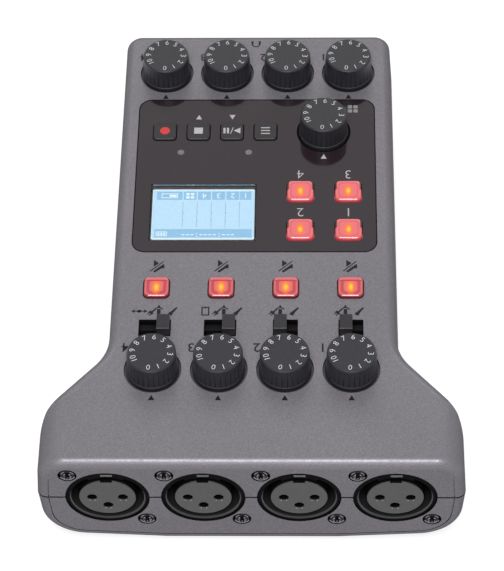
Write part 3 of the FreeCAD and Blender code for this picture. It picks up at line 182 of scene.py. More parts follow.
def painted_case():
    """Metallic grey lacquer: a fine sparkle, a fine grain, slow unevenness, and painted shade in
    recesses.
    """
    m = Material("case_lacquer", LACQUER, 0.36, metal=0.3, Specular_IOR_Level=0.0)
    m.shader.inputs["Specular Tint"].default_value = (0.55, 0.55, 0.55, 1)
    flakes = m.grey(m.noise(3400, 1.0), [(0.3, 0.86), (0.5, 1.0), (0.72, 1.18)])
    slow = m.grey(m.noise(26, 2.0), [(0.3, 0.965), (0.7, 1.035)])
    tone = m.mix(1.0, LACQUER, m.mix(1.0, flakes, slow, "MULTIPLY"), "MULTIPLY")

    # Painted shade, near black, in the openings of the deck; a dark grey painted shade on the floors of
    # the dial wells
    split = m.add("ShaderNodeSeparateXYZ")
    m.link(m.place(), split.inputs[0])
    wide = m.math("LESS_THAN", m.math("ABSOLUTE", split.outputs["X"]), OPENINGS_X * MM)
    long = m.math("LESS_THAN", m.math("ABSOLUTE", split.outputs["Y"]), OPENINGS_Y * MM)
    depth = m.math("SUBTRACT", DECK * MM, split.outputs["Z"])
    sunk = m.math("MULTIPLY", m.math("GREATER_THAN", depth, OPENINGS_TOP * MM),
                  m.math("LESS_THAN", depth, OPENINGS_FLOOR * MM))
    from_floor = m.math("ABSOLUTE", m.math("SUBTRACT", depth, WELL_FLOOR * MM))
    spared = m.math("MULTIPLY", m.math("LESS_THAN", from_floor, WELL_MARGIN * MM), WELL_LACQUER)
    shade_mask = m.math("MULTIPLY", m.math("MULTIPLY", wide, long), m.math("SUBTRACT", sunk, spared))

    # Painted shade too: in the seam between the shells, and on the walls of the grooves in the rear face
    seam = m.math("ABSOLUTE", m.math("SUBTRACT", split.outputs["Z"], SEAM * MM))
    shade_mask = m.math("MAXIMUM", shade_mask, m.math("LESS_THAN", seam, SEAM_HALF * MM))
    facing = m.add("ShaderNodeSeparateXYZ")
    m.link(m.add("ShaderNodeNewGeometry").outputs["Normal"], facing.inputs[0])
    wall = m.math("LESS_THAN", m.math("ABSOLUTE", facing.outputs["Y"]), WALL_FACING)
    rear = m.math("GREATER_THAN", split.outputs["Y"], REAR_OPENINGS * MM)
    shade_mask = m.math("MAXIMUM", shade_mask, m.math("MULTIPLY", wall, rear))
    m.color(m.mix(shade_mask, tone, PAINTED_SHADE))
    m.rough(m.grey(m.noise(1800, 1.0), [(0.3, 0.31), (0.7, 0.41)]))
    m.bump(m.noise(3600, 2.0), 0.16, 0.00003)
    return m.made


def panel_gloss():
    """Black acrylic with a purple cast and the faint haze that handling leaves."""
    m = Material("panel_gloss", (0.022, 0.013, 0.018), 0.08)
    m.rough(m.grey(m.noise(70, 3.0), [(0.35, 0.06), (0.75, 0.13)]))
    m.color(m.mix(m.noise(900, 2.0), (0.019, 0.0112, 0.0155), (0.025, 0.0148, 0.0205)))
    return m.made


def moulded(name, color, rough, grain=2400, depth=0.00003, spread=0.14, shine=0.35):
    """Moulded plastic or rubber: fine erosion texture, slightly uneven colour and shine."""
    m = Material(name, color, rough, Specular_IOR_Level=shine)
    low = tuple(c * (1 - spread) for c in color)
    high = tuple(c * (1 + spread) for c in color)
    m.color(m.mix(m.grey(m.noise(grain * 0.6, 3.0), [(0.35, 0.0), (0.65, 1.0)]), low, high))
    m.rough(m.grey(m.noise(grain * 0.2, 3.0), [(0.3, rough * 0.88), (0.7, rough * 1.12)]))
    m.bump(m.noise(grain, 2.0), 0.3, depth)
    return m.made


def metal(name, color, rough):
    """Worked metal with fine lines that lie level."""
    m = Material(name, color, rough, metal=1.0)
    mapping = m.add("ShaderNodeMapping")
    mapping.inputs["Scale"].default_value = (1, 1, 12)
    m.link(m.place(), mapping.inputs["Vector"])
    m.where = mapping.outputs["Vector"]
    lines = m.noise(600, 4.0)
    m.rough(m.grey(lines, [(0.3, rough * 0.75), (0.7, rough * 1.3)]))
    m.color(m.mix(lines, tuple(c * 0.85 for c in color), tuple(c * 1.1 for c in color)))
    m.bump(lines, 0.15, 0.00002)
    return m.made


# Colours of the lit caps, and where their square rings lie: 0 is the middle and 1 the edge
FIELD = (0.72, 0.135, 0.15)
MUTE_FIELD = (0.62, 0.115, 0.12)
STEP = (0.4, 0.03, 0.04)
BEVEL = (0.6, 0.085, 0.1)
# Painted shade: the near black in the gaps round a cap
GAP_SHADE = (0.03, 0.0, 0.001)
ORANGE = (0.95, 0.17, 0.0)
AMBER = (1.0, 0.28, 0.0)
YELLOW = (1.0, 0.54, 0.005)
# Painted shade: the dark line at the first step of a mute button
STEP_SHADE = (0.3, 0.01, 0.012)
LENS = (0.12, 0.01, 0.012)
PAD_SIZE = 7.4
PAD_RINGS = [(0.0, FIELD), (0.62, FIELD), (0.7, BEVEL), (0.86, FIELD), (0.97, BEVEL), (1.0, STEP)]
MUTE_SIZE = 7.0
MUTE_RINGS = [(0.0, MUTE_FIELD), (0.5, MUTE_FIELD), (0.57, STEP), (0.74, STEP), (0.8, BEVEL),
              (0.9, BEVEL), (0.96, GAP_SHADE)]
RING_SQUARENESS = 5.0
# Steps on the front of a mute button: start and end in front of the middle, reach to the sides, colour;
# the first colour is a painted shade line
MUTE_STEPS = ((0.5, 0.6, 0.84, STEP_SHADE), (0.6, 0.92, 0.78, BEVEL))


def lit_cap(node, pad):
    """Clear red cap over a lamp: a yellow drop of light in a pink field with stepped edges, and painted
    shade in its gaps.
    """
    m = Material("lit_" + node, LENS, 0.14, Coat_Weight=0.5, Coat_Roughness=0.06)
    x, y = over(node)
    split = m.add("ShaderNodeSeparateXYZ")
    m.link(m.place(), split.inputs[0])
    half = (PAD_SIZE if pad else MUTE_SIZE) * MM / 2
    u = m.math("DIVIDE", m.math("SUBTRACT", split.outputs["X"], x * MM), half)
    v = m.math("DIVIDE", m.math("SUBTRACT", split.outputs["Y"], y * MM), half)
    wide = m.math("ABSOLUTE", u)
    grain = m.math("MULTIPLY", m.math("SUBTRACT", m.noise(1100, 2.0), 0.5), 0.16)

    # Square rings round the middle
    power = m.math("ADD", m.math("POWER", wide, RING_SQUARENESS),
                   m.math("POWER", m.math("ABSOLUTE", v), RING_SQUARENESS))
    ring = m.math("ADD", m.math("POWER", power, 1 / RING_SQUARENESS), m.math("MULTIPLY", grain, 0.35))
    tone = m.ramp(ring, PAD_RINGS if pad else MUTE_RINGS)

    # The lamp shows as a long drop of light, a little behind the middle
    drop_width, drop_length = (0.24, 0.44) if pad else (0.27, 0.5)
    across = m.math("DIVIDE", u, drop_width)
    along = m.math("DIVIDE", m.math("SUBTRACT", v, 0.1), drop_length)
    squares = m.math("ADD", m.math("MULTIPLY", across, across), m.math("MULTIPLY", along, along))
    far = m.math("SQRT", squares)
    drop = m.math("MULTIPLY", m.math("ADD", far, m.math("MULTIPLY", grain, 2.6)), 0.5)
    light = m.ramp(drop, [(0.0, YELLOW), (0.18, YELLOW), (0.34, AMBER), (0.5, ORANGE)])
    tone = m.mix(m.grey(drop, [(0.42, 1.0), (0.8, 0.0)]), tone, light)

    # Painted shade in the gap beside the front half of a pad; on a mute button, the steps of the
    # moulding, the first a painted shade line
    front = m.math("MULTIPLY", v, -1.0)
    if pad:
        gap_shade = m.math("MULTIPLY", m.math("GREATER_THAN", wide, 0.85), m.math("GREATER_THAN", front, 0.08))
        tone = m.mix(gap_shade, tone, GAP_SHADE)
    else:
        for start, end, reach, color in MUTE_STEPS:
            strip = m.math("MULTIPLY", m.math("GREATER_THAN", front, start),
                           m.math("LESS_THAN", front, end))
            tone = m.mix(m.math("MULTIPLY", strip, m.math("LESS_THAN", wide, reach)), tone, color)
    m.glow(tone)
    m.bump(m.noise(500, 1.0), 0.1, 0.00004)
    return m.made


def circuit_board():
    """Green solder mask in two depths of colour."""
    m = Material("circuit_board", (0.02, 0.12, 0.06), 0.35)
    patches = m.grey(m.noise(500, 2.0), [(0.45, 0.0), (0.55, 1.0)])
    m.color(m.mix(patches, (0.015, 0.1, 0.05), (0.03, 0.16, 0.08)))
    m.bump(m.noise(700, 2.0), 0.2, 0.00005)
    return m.made


def clear_window():
    """Clear acrylic, not quite even in its polish."""
    m = Material("clear_window", (0.96, 0.98, 1.0), 0.02, Transmission_Weight=1.0, IOR=1.49)
    m.rough(m.grey(m.noise(300, 2.0), [(0.4, 0.01), (0.7, 0.03)]))
    return m.made


def lit_tone(name, color):
    """A surface that gives its own light, with a fine raster, such as the display."""
    m = Material(name, tuple(c * 0.08 for c in color), 0.4, Specular_IOR_Level=0.1)
    low = tuple(c * 0.96 for c in color)
    high = tuple(c * 1.04 for c in color)
    m.glow(m.mix(m.grey(m.noise(3000, 0.0), [(0.35, 0.0), (0.65, 1.0)]), low, high))
    return m.made


def ink(name, color, rough=0.5):
    """Printed mark with the slight unevenness of a screen print."""
    m = Material(name, color, rough, Specular_IOR_Level=0.2)
    m.color(m.mix(m.noise(4000, 1.0), tuple(c * 0.9 for c in color), tuple(c * 1.08 for c in color)))
    return m.made


CASE = painted_case()
PANEL = panel_gloss()
DIAL = moulded("dial_plastic", (0.02, 0.0195, 0.0245), 0.42, depth=0.00002)
KEY = moulded("key_rubber", (0.014, 0.0125, 0.0145), 0.45)
LEVER = moulded("lever_plastic", (0.02, 0.018, 0.0215), 0.4, shine=0.3)
SOCKET = moulded("socket_plastic", (0.026, 0.026, 0.028), 0.34, spread=0.1)
INSERT = moulded("insert_plastic", (0.07, 0.07, 0.073), 0.4, spread=0.08)
DARK = moulded("inner_plastic", (0.008, 0.0076, 0.009), 0.5, shine=0.2)
RUBBER = moulded("foot_rubber", (0.018, 0.018, 0.018), 0.75, grain=1500, depth=0.00006)
SCREW = metal("black_steel", (0.022, 0.022, 0.024), 0.2)
PALE_METAL = metal("pale_metal", (0.72, 0.72, 0.74), 0.3)
# Glowing material for painted highlights: the glints on the screw heads and under the contacts
EDGE_LIGHT = lit_tone("edge_light", (0.3, 0.3, 0.31))
# Near black for painted shadow: round the panel, in the socket gaps, round the screw heads and on the
# sides of the socket cores
PAINTED_SHADOW = moulded("shadow_black", (0.0045, 0.0045, 0.005), 0.6, shine=0.02)
GREY_METAL = metal("grey_metal", (0.36, 0.36, 0.37), 0.3)
BOARD = circuit_board()
CELL = moulded("cell_sleeve", (0.09, 0.1, 0.12), 0.3, grain=900)
WINDOW = clear_window()
LIGHT_INK = ink("light_ink", (0.55, 0.53, 0.55))
GREY_INK = ink("grey_ink", (0.32, 0.31, 0.32))
DARK_INK = ink("dark_ink", (0.006, 0.005, 0.007))
DIAL_INK = ink("dial_ink", (0.82, 0.82, 0.83))
RED_INK = ink("red_ink", (0.7, 0.06, 0.065), 0.35)
LAMP_OFF = moulded("lamp_off", (0.19, 0.18, 0.19), 0.25, spread=0.08)


def dress(node, material):
    """Give a CAD node its one material."""
    mesh = NODES[node].data
    mesh.materials.clear()
    mesh.materials.append(material)


LOOKS = {
    "top_case": CASE, "bottom_case": CASE, "battery_cover": CASE, "control_panel": PANEL,
    "rubber_feet": RUBBER, "case_screws": SCREW, "socket_screws": SCREW, "lcd_window": WINDOW,
    "lcd_module": DARK,
    "circuit_boards": BOARD, "potentiometers": DARK, "tact_switches": DARK, "slide_switches": DARK,
    "xlr_inserts": INSERT, "xlr_contacts": GREY_METAL, "headphone_jacks": DARK, "phone_jack": DARK,
    "usb_ports": PALE_METAL, "card_slot": PALE_METAL, "battery_contacts": PALE_METAL,
    "battery_cells": CELL, "power_switch": LEVER,
}
for name in NODES:
    if name in LOOKS:
        dress(name, LOOKS[name])
    elif "_knob" in name:
        dress(name, DIAL)
    elif "_shaft" in name:
        dress(name, PALE_METAL)
    elif name.startswith("xlr_socket"):
        dress(name, SOCKET)
    elif name.startswith("input_switch"):
        dress(name, LEVER)
    elif name.endswith("_key"):
        dress(name, KEY)
    elif name.startswith("mute_button"):
        dress(name, lit_cap(name, pad=False))
    elif name.startswith("pad_button"):
        dress(name, lit_cap(name, pad=True))


# Flat marks, in millimetres. On the deck the user reads them from the -Y side.

def link_piece(name, mesh, material, body):
    """Add a mesh to the scene as a piece that moves with a body."""
    piece = bpy.data.objects.new(name, mesh)
    bpy.context.scene.collection.objects.link(piece)
    mesh.materials.append(material)
    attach(piece, body)
    return piece


def marks(name, shapes, at, level, material, body="case"):
    """Thin printed shapes: each is a list of corners, placed round a point at a level."""
    mesh = bpy.data.meshes.new(name)
    bm = bmesh.new()
    for corners in shapes:
        top = []
        low = []
        for corner in corners:
            x = at[0] + corner[0]
            y = at[1] + corner[1]
            top.append(bm.verts.new((x * MM, y * MM, (level + INK) * MM)))
            low.append(bm.verts.new((x * MM, y * MM, (level - INK) * MM)))
        bm.faces.new(top)
        bm.faces.new(list(reversed(low)))
        count = len(top)
        for i in range(count):
            j = (i + 1) % count
            bm.faces.new((top[i], low[i], low[j], top[j]))
    bmesh.ops.recalc_face_normals(bm, faces=bm.faces)
    bm.to_mesh(mesh)
    bm.free()
    return link_piece(name, mesh, material, body)


def disc(x, y, r, count=28):
    return [(x + r * math.cos(2 * math.pi * i / count), y + r * math.sin(2 * math.pi * i / count))
            for i in range(count)]


def wedge(x0, y0, x1, y1, start, end):
    """A straight stroke whose width changes from one end to the other."""
    along = Vector((x1 - x0, y1 - y0)).normalized()
    side = Vector((-along.y, along.x)) / 2
    return [(x0 + side.x * start, y0 + side.y * start), (x0 - side.x * start, y0 - side.y * start),
            (x1 - side.x * end, y1 - side.y * end), (x1 + side.x * end, y1 + side.y * end)]


def bar(x0, y0, x1, y1, width):
    """A straight stroke of one width."""
    return wedge(x0, y0, x1, y1, width, width)


def arc(x, y, r, start, end, width):
    """A curved stroke as short straight pieces."""
    count = 14
    pieces = []
    for i in range(count):
        a = math.radians(start + (end - start) * i / count)
        b = math.radians(start + (end - start) * (i + 1) / count)
        inner, outer = r - width / 2, r + width / 2
        pieces.append([(x + outer * math.cos(a), y + outer * math.sin(a)),
                       (x + inner * math.cos(a), y + inner * math.sin(a)),
                       (x + inner * math.cos(b), y + inner * math.sin(b)),
                       (x + outer * math.cos(b), y + outer * math.sin(b))])
    return pieces


def box_shape(x, y, width, depth):
    return [(x - width / 2, y - depth / 2), (x + width / 2, y - depth / 2),
            (x + width / 2, y + depth / 2), (x - width / 2, y + depth / 2)]


def frame_shape(x, y, width, depth, line):
    """The four sides of a rectangle, as strokes inside its outline."""
    w, d = width / 2, depth / 2
    return [box_shape(x, y + d - line / 2, width, line), box_shape(x, y - d + line / 2, width, line),
            box_shape(x - w + line / 2, y, line, depth - 2 * line),
            box_shape(x + w - line / 2, y, line, depth - 2 * line)]


def rounded_plate(x, y, width, depth, radius, count=6):
    corners = []
    for sx, sy, start in ((1, 1, 0), (-1, 1, 90), (-1, -1, 180), (1, -1, 270)):
        for i in range(count + 1):
            a = math.radians(start + 90 * i / count)
            corners.append((x + sx * (width / 2 - radius) + radius * math.cos(a),
                            y + sy * (depth / 2 - radius) + radius * math.sin(a)))
    return corners


def curve_mesh(curve):
    """The mesh of a curve or a text."""
    holder = bpy.data.objects.new(curve.name, curve)
    bpy.context.scene.collection.objects.link(holder)
    bpy.context.view_layer.update()
    graph = bpy.context.evaluated_depsgraph_get()
    mesh = bpy.data.meshes.new_from_object(holder.evaluated_get(graph))
    bpy.data.objects.remove(holder)
    return mesh


# Height of a digit as a share of its font size
DIGIT_SHARE = 0.7


def text_mesh(text, height, slim):
    """Plain digits as a flat mesh, centred on the origin, in metres; slim thins the strokes."""
    curve = bpy.data.curves.new("digits", "FONT")
    curve.body = text
    curve.size = height * MM / DIGIT_SHARE
    curve.align_x = "CENTER"
    curve.align_y = "CENTER"
    curve.extrude = INK * MM / 2
    curve.offset = -slim * MM
    curve.resolution_u = 3
    mesh = curve_mesh(curve)
    corners = [v.co for v in mesh.vertices]
    middle = Vector(((min(c.x for c in corners) + max(c.x for c in corners)) / 2,
                     (min(c.y for c in corners) + max(c.y for c in corners)) / 2, 0))
    mesh.transform(Matrix.Translation(-middle))
    return mesh


def digits(name, text, height, at, level, material, slim=0.0):
    """Digits printed on the case, the panel or the display."""
    mesh = text_mesh(text, height, slim)
    mesh.transform(Matrix.Translation(Vector((at[0], at[1], level + INK / 2)) * MM))
    mesh.name = name
    return link_piece(name, mesh, material, "case")


# Dials. The turns are how far each zero stands from its pointer in the photograph, in degrees.

GAIN_TURNS = {1: -5, 2: -13, 3: -12, 4: -7}
PHONES_TURNS = {1: -7.5, 2: -4, 3: -2, 4: -2}
LEVEL_TURN = -5
NUMBER_RADIUS = 5.05
NUMBER_STEP = 30
NUMBER_HEIGHT = 1.62
POINTER_GAP = 9.3
LEVEL_POINTER_GAP = 9.4


def dial_numbers(name, at, body, turned_by):
    """Numbers 0 to 10 round the top of a dial, their tops outwards."""
    bm = bmesh.new()
    for value in range(11):
        angle = 90 + NUMBER_STEP * value + turned_by
        mesh = text_mesh(str(value), NUMBER_HEIGHT, 0.035)
        x = at[0] + NUMBER_RADIUS * math.cos(math.radians(angle))
        y = at[1] + NUMBER_RADIUS * math.sin(math.radians(angle))
        place = Matrix.Translation(Vector((x, y, DIAL_TOP + INK / 2)) * MM)
        mesh.transform(place @ Matrix.Rotation(math.radians(angle - 90), 4, "Z"))
        bm.from_mesh(mesh)
        bpy.data.meshes.remove(mesh)
    made = bpy.data.meshes.new(name)
    bm.to_mesh(made)
    bm.free()
    return link_piece(name, made, DIAL_INK, body)


# Small triangles: UP points to the sockets and DOWN to the user
UP = [(-0.85, -0.85), (0.85, -0.85), (0.0, 0.85)]
DOWN = [(-0.85, 0.85), (0.0, -0.85), (0.85, 0.85)]


def dial_marks():
    """Numbers, pointers and channel numbers of the nine dials."""
    for number in CHANNELS:
        for kind, turns in (("gain", GAIN_TURNS), ("phones", PHONES_TURNS)):
            x, y = over("%s_knob_%d" % (kind, number))
            body = "%s_dial_%d" % (kind, number)
            dial_numbers("%s_numbers_%d" % (kind, number), (x, y), body, turns[number])
            pointer = "%s_pointer_%d" % (kind, number)
            marks(pointer, [DOWN], (x, y + POINTER_GAP), DECK, DARK_INK)
        for kind, height, right, front in (("gain", 2.9, 7.6, 7.3), ("phones", 2.7, 7.2, 6.4)):
            x, y = over("%s_knob_%d" % (kind, number))
            channel = "%s_channel_%d" % (kind, number)
            digits(channel, str(number), height, (x + right, y - front), DECK, DARK_INK, slim=-0.03)
    x, y = over("pad_level_knob")
    dial_numbers("level_numbers", (x, y), "pad_level_dial", LEVEL_TURN)
    marks("level_pointer", [DOWN], (x, y + LEVEL_POINTER_GAP), DECK, LIGHT_INK)


# Printed signs of the deck

def muted_speaker():
    """A small loudspeaker crossed out, with a clear gap along the stroke."""
    horn = [(0.98, -2.35), (0.98, 0.1), (-0.45, -1.15)]
    mouth = [(1.05, 1.68), (-1.5, -0.72), (-1.95, -0.8), (-1.98, 0.62), (-1.14, 0.72), (0.62, 2.15)]
    return [horn, wedge(-1.8, -1.85, 1.88, 1.66, 0.27, 0.34), mouth]


def stage_microphone():
    return [wedge(-1.15, -1.4, 0.3, 0.35, 0.42, 0.85), bar(0.3, 0.35, 0.85, 1.15, 1.12)]


def plug_shape():
    return [bar(-0.95, -0.95, -0.1, -0.1, 0.5), bar(-0.1, -0.1, 0.5, 0.5, 1.3),
            bar(0.3, 0.8, 0.7, 1.2, 0.32), bar(0.8, 0.3, 1.2, 0.7, 0.32)]


def lapel_microphone():
    return arc(0, 0.2, 1.15, 205, 335, 0.36) + [bar(0, -0.45, 0, 1.4, 1.0), disc(0, -1.4, 0.32)]


def data_shape():
    """A line with an arrow at each end: signals that go both ways."""
    tips = [[(-2.2, 0), (-1.3, 0.6), (-1.3, -0.6)], [(2.2, 0), (1.3, -0.6), (1.3, 0.6)]]
    return [bar(-1.6, 0, 1.6, 0, 0.3), *tips, disc(0, 0, 0.52)]


def telephone_shape():
    return frame_shape(0, 0, 2.15, 3.0, 0.36) + [bar(-0.25, -1.1, 0.25, -1.1, 0.3)]


def headphone_shape():
    cups = [box_shape(side, -0.6, 0.62, 1.2) for side in (-1.08, 1.08)]
    return arc(0, -0.1, 1.1, 0, 180, 0.36) + cups


# Signs along the input slides, three for each; slides 3 and 4 have a fourth
SIGNS_ROW = 27.2
FIRST_SIGN = {1: 3.35, 2: 3.35, 3: 1.0, 4: 1.0}


def deck_signs():
    """Signs of the mute buttons, the input slides and the headphones."""
    def sign(name, shapes, x, y):
        marks(name, shapes, (x, y), DECK, DARK_INK)

    for number in CHANNELS:
        x, y = over("mute_button_%d" % number)
        sign("mute_sign_%d" % number, muted_speaker(), x + 0.1, y - 7.6)
        first = x + FIRST_SIGN[number]
        sign("plug_sign_%d" % number, plug_shape(), first, SIGNS_ROW + 0.3)
        sign("lapel_sign_%d" % number, lapel_microphone(), first - 1.9, SIGNS_ROW - 0.3)
        sign("stage_sign_%d" % number, stage_microphone(), first - 5.65, SIGNS_ROW + 0.15)
    sign("data_sign", data_shape(), over("mute_button_4")[0] + 4.35, SIGNS_ROW)
    sign("telephone_sign", telephone_shape(), over("mute_button_3")[0] + 4.1, SIGNS_ROW)
    sign("headphone_sign", headphone_shape(), 0.6, -72.9)


# Printing on the panel, in millimetres; a GAP is measured from the middle of a button
ARROW_GAP = 5.75
PAD_NUMBER_GAP = 6.5
PAD_SYMBOL_AT = (-27.6, -47.0)
STATUS_LAMPS = (("left", 21.35), ("right", 2.1))
STATUS_ROW = -30.35


def panel_signs():
    """Symbols of the keys and pads, and the two status lamps of the panel."""
    keys = {name: over(name) for name in ("record_key", "stop_key", "play_key", "menu_key")}
    marks("record_symbol", [disc(0, 0, 1.4, 32)], keys["record_key"], KEY_TOP, RED_INK, "record_key")
    marks("stop_symbol", [box_shape(0, 0, 2.5, 2.3)], keys["stop_key"], KEY_TOP, LIGHT_INK, "stop_key")
    play = [[(-2.4, -1.1), (-2.4, 1.1), (-0.5, 0.0)], bar(-0.3, -1.2, 0.4, 1.2, 0.22),
            box_shape(1.15, 0, 0.6, 2.1), box_shape(2.15, 0, 0.6, 2.1)]
    marks("play_symbol", play, keys["play_key"], KEY_TOP, LIGHT_INK, "play_key")
    lines = [box_shape(0, y, 2.6, 0.36) for y in (-1.1, 0, 1.1)]
    marks("menu_symbol", lines, keys["menu_key"], KEY_TOP, LIGHT_INK, "menu_key")
    x, y = keys["stop_key"]
    marks("arrow_down", [DOWN], (x, y - ARROW_GAP), DECK, LIGHT_INK)
    x, y = keys["play_key"]
    marks("arrow_up", [UP], (x, y - ARROW_GAP), DECK, LIGHT_INK)
    for number, letter in enumerate("abcd", 1):
        x, y = over("pad_button_" + letter)
        at = (x, y - PAD_NUMBER_GAP)
        digits("pad_number_" + letter, str(number), 3.1, at, DECK, LIGHT_INK, slim=0.05)
    squares = [rounded_plate(x, y, 1.25, 1.25, 0.3) for x in (-0.8, 0.8) for y in (-0.8, 0.8)]
    marks("pad_symbol", squares, PAD_SYMBOL_AT, DECK, GREY_INK)
    for name, x in STATUS_LAMPS:
        marks("status_lamp_" + name, [disc(0, 0, 0.95, 32)], (x, STATUS_ROW), DECK, LAMP_OFF)


# Corner radius of the panel, width of the line round it, and thickness of thin filled plates
PANEL_CORNER = 3.6
LINE_WIDTH = 0.3
SHEET = 0.08


def panel_line():
    """The black shadow line between the panel and the deck."""
    low, high = span("control_panel")
    x, y = (low.x + high.x) / 2, (low.y + high.y) / 2
    width, depth = high.x - low.x, high.y - low.y
    outer = rounded_plate(x, y, width + LINE_WIDTH, depth + LINE_WIDTH,
                          PANEL_CORNER + LINE_WIDTH / 2, 10)
    inner = rounded_plate(x, y, width - LINE_WIDTH, depth - LINE_WIDTH,
                          PANEL_CORNER - LINE_WIDTH / 2, 10)
    ring = filled([outer, list(reversed(inner))], SHEET, 0.01)
    ring.transform(Matrix.Translation(Vector((0, 0, DECK + SHEET / 2)) * MM))
    link_piece("panel_shadow_line", ring, PAINTED_SHADOW, "case")


# Display

LIT = span("lcd_module")[1].z + 0.02
LIT_BLUE = lit_tone("display_light", (0.47, 0.72, 0.9))
LIT_BAND = lit_tone("display_band", (0.24, 0.5, 0.74))
LIT_EDGE = lit_tone("display_edge", (0.74, 0.9, 0.95))
LIT_LINE = lit_tone("display_line", (0.22, 0.38, 0.54))
DISPLAY_AT = (14.5, -9.0)
# Middle and width of each cell of the band: card sign, pads, and channels 4 to 1
CARD_CELL, PAD_CELL = (24.1, 7.2), (18.35, 3.6)
CHANNEL_CELLS = {4: (14.35, 3.6), 3: (10.35, 3.6), 2: (6.35, 3.6), 1: (2.75, 3.2)}
BAND_ROW = -15.8
FOOTER_ROW = -2.05
BATTERY_AT = (26.0, -1.85)
COLUMN_LINES = (20.27, 16.31, 12.28, 8.33, 4.41)
# How far the layers of the picture stand over LIT
FIELD_LAYER, BAND_LAYER, NUMBER_LAYER, DETAIL_LAYER = 0.03, 0.06, 0.08, 0.09


def display():
    """What the display shows: a band with channel cells, level columns and a footer."""
    def patch(x, y, width, depth):
        """A rectangle at a place on the panel, as marks() needs it."""
        return box_shape(x - DISPLAY_AT[0], y - DISPLAY_AT[1], width, depth)

    def outline(x, y, width, depth):
        return frame_shape(x - DISPLAY_AT[0], y - DISPLAY_AT[1], width, depth, 0.22)

    def layer(name, shapes, height, material):
        marks(name, shapes, DISPLAY_AT, LIT + height, material)

    layer("display_edge", [rounded_plate(0, 0, 29.5, 18.4, 1.1)], 0, LIT_EDGE)
    layer("display_field", [rounded_plate(0, 0, 28.5, 17.5, 0.7)], FIELD_LAYER, LIT_BLUE)
    cells = [CARD_CELL, PAD_CELL, *CHANNEL_CELLS.values()]
    layer("display_band", [patch(x, BAND_ROW, wide, 3.0) for x, wide in cells], BAND_LAYER, LIT_BAND)
    layer("display_footer", [patch(14.4, FOOTER_ROW, 27.1, 3.0)], BAND_LAYER, LIT_BAND)
    columns = [patch(x, -8.9, 0.14, 9.4) for x in COLUMN_LINES]
    columns += [patch(x - 0.15, y, 0.3, 0.3) for x in COLUMN_LINES[:4] for y in (-6.8, -9.5)]
    layer("display_columns", columns, BAND_LAYER, LIT_LINE)
    for number, (x, _) in CHANNEL_CELLS.items():
        name = "display_number_%d" % number
        digits(name, str(number), 1.9, (x, BAND_ROW), LIT + NUMBER_LAYER, LIT_EDGE)

    # Pads and card sign in the band, then battery sign, dashes and dots in the footer
    details = [patch(PAD_CELL[0] + a, BAND_ROW + b, 0.95, 0.85)
               for a in (-0.65, 0.65) for b in (-0.6, 0.6)]
    details += outline(CARD_CELL[0], BAND_ROW, 4.6, 1.7)
    details.append(patch(23.2, BAND_ROW, 2.0, 0.8))
    details += outline(*BATTERY_AT, 3.1, 1.6)
    details += [patch(BATTERY_AT[0] + d, BATTERY_AT[1], 0.5, 0.8) for d in (-0.8, 0.0, 0.8)]
    details += [patch(6.2 + 1.25 * i, -1.5, 0.85, 0.34) for i in range(12) if i not in (3, 8)]
    details += [patch(x, y, 0.3, 0.3) for x in (9.95, 16.2) for y in (-1.0, -1.9)]
    layer("display_details", details, DETAIL_LAYER, LIT_EDGE)


# Cores and screws of the microphone sockets, in millimetres. A BACK is measured in from the rear face.

REAR = span("bottom_case")[1].y
PARTING = span("bottom_case")[1].z
SOCKET_PITCH = 25.2
SCREW_OFFSET = 9.95
CONTACTS = ((4.05, 0.0), (-4.05, 0.0), (0.0, -3.6))
CORE_RADIUS, CORE_DEPTH, CORE_BEVEL, CORE_BACK = 7.45, 14.0, 0.3, 0.3
FACE_DEPTH, FACE_BEVEL, FACE_BACK = 0.4, 0.14, 0.02
KEY_HALF, KEY_FLOOR = 1.55, 6.4
CONTACT_HOLE = 1.3
SLEEVE_OUTER, SLEEVE_INNER, SLEEVE_LENGTH, SLEEVE_BACK = 1.2, 0.9, 4.0, 2.2
RING_RADIUS, RING_DROP = 9.95, 0.8
HOLE_RADIUS = 10.95
GAP_BACK, BAY_BACK, LATCH_BACK = 0.42, 0.4, 0.35
BAY_FLOOR, BAY_START, BAY_SPAN = 8.4, 58, 64
LATCH_AT, LATCH_SIZE = (0.15, 9.35), (3.1, 0.75)
SCREW_HEAD, HEAD_DROP, HEAD_BACK = 2.2, 0.4, -0.01
# Radius and BACK of the black disc of painted shadow round a screw head
WELL_RADIUS, WELL_BACK = 2.75, 0.62
# Radius, drop and BACK of the painted highlights under the contact holes
SPARK_RADIUS, SPARK_DROP, SPARK_BACK = 0.2, 1.3, 0.01
SPARK_SIDES = (-0.75, 0.7)
GLINT_DEPTH = 0.05
# Radius, width, first and last angle, and BACK of the painted highlights, glowing bright edges, on a
# screw head
EDGE_LIGHTS = ((1.95, 0.22, 200, 340, 0.33), (1.75, 0.14, 25, 65, 0.22), (1.75, 0.14, 115, 155, 0.22),
               (1.0, 0.28, 33, 57, 0.02), (1.0, 0.28, 123, 147, 0.02), (1.15, 0.25, 215, 235, 0.04),
               (1.15, 0.25, 305, 325, 0.04))
LATCH = moulded("latch_metal", (0.13, 0.13, 0.135), 0.4)


def upright(mesh, x, z, back):
    """Stand a mesh drawn on the XY plane up against the rear face, its top outwards."""
    turn = Matrix(((-1, 0, 0), (0, 0, 1), (0, 1, 0))).to_4x4()
    mesh.transform(Matrix.Translation(Vector((x, REAR - back, z)) * MM) @ turn)
    return mesh


def gathered(name, meshes, material, smooth=False):
    """Several meshes as one piece of the case."""
    bm = bmesh.new()
    for mesh in meshes:
        bm.from_mesh(mesh)
        bpy.data.meshes.remove(mesh)
    bmesh.ops.recalc_face_normals(bm, faces=bm.faces)
    made = bpy.data.meshes.new(name)
    bm.to_mesh(made)
    bm.free()
    for face in made.polygons:
        face.use_smooth = smooth
    return link_piece(name, made, material, "case")


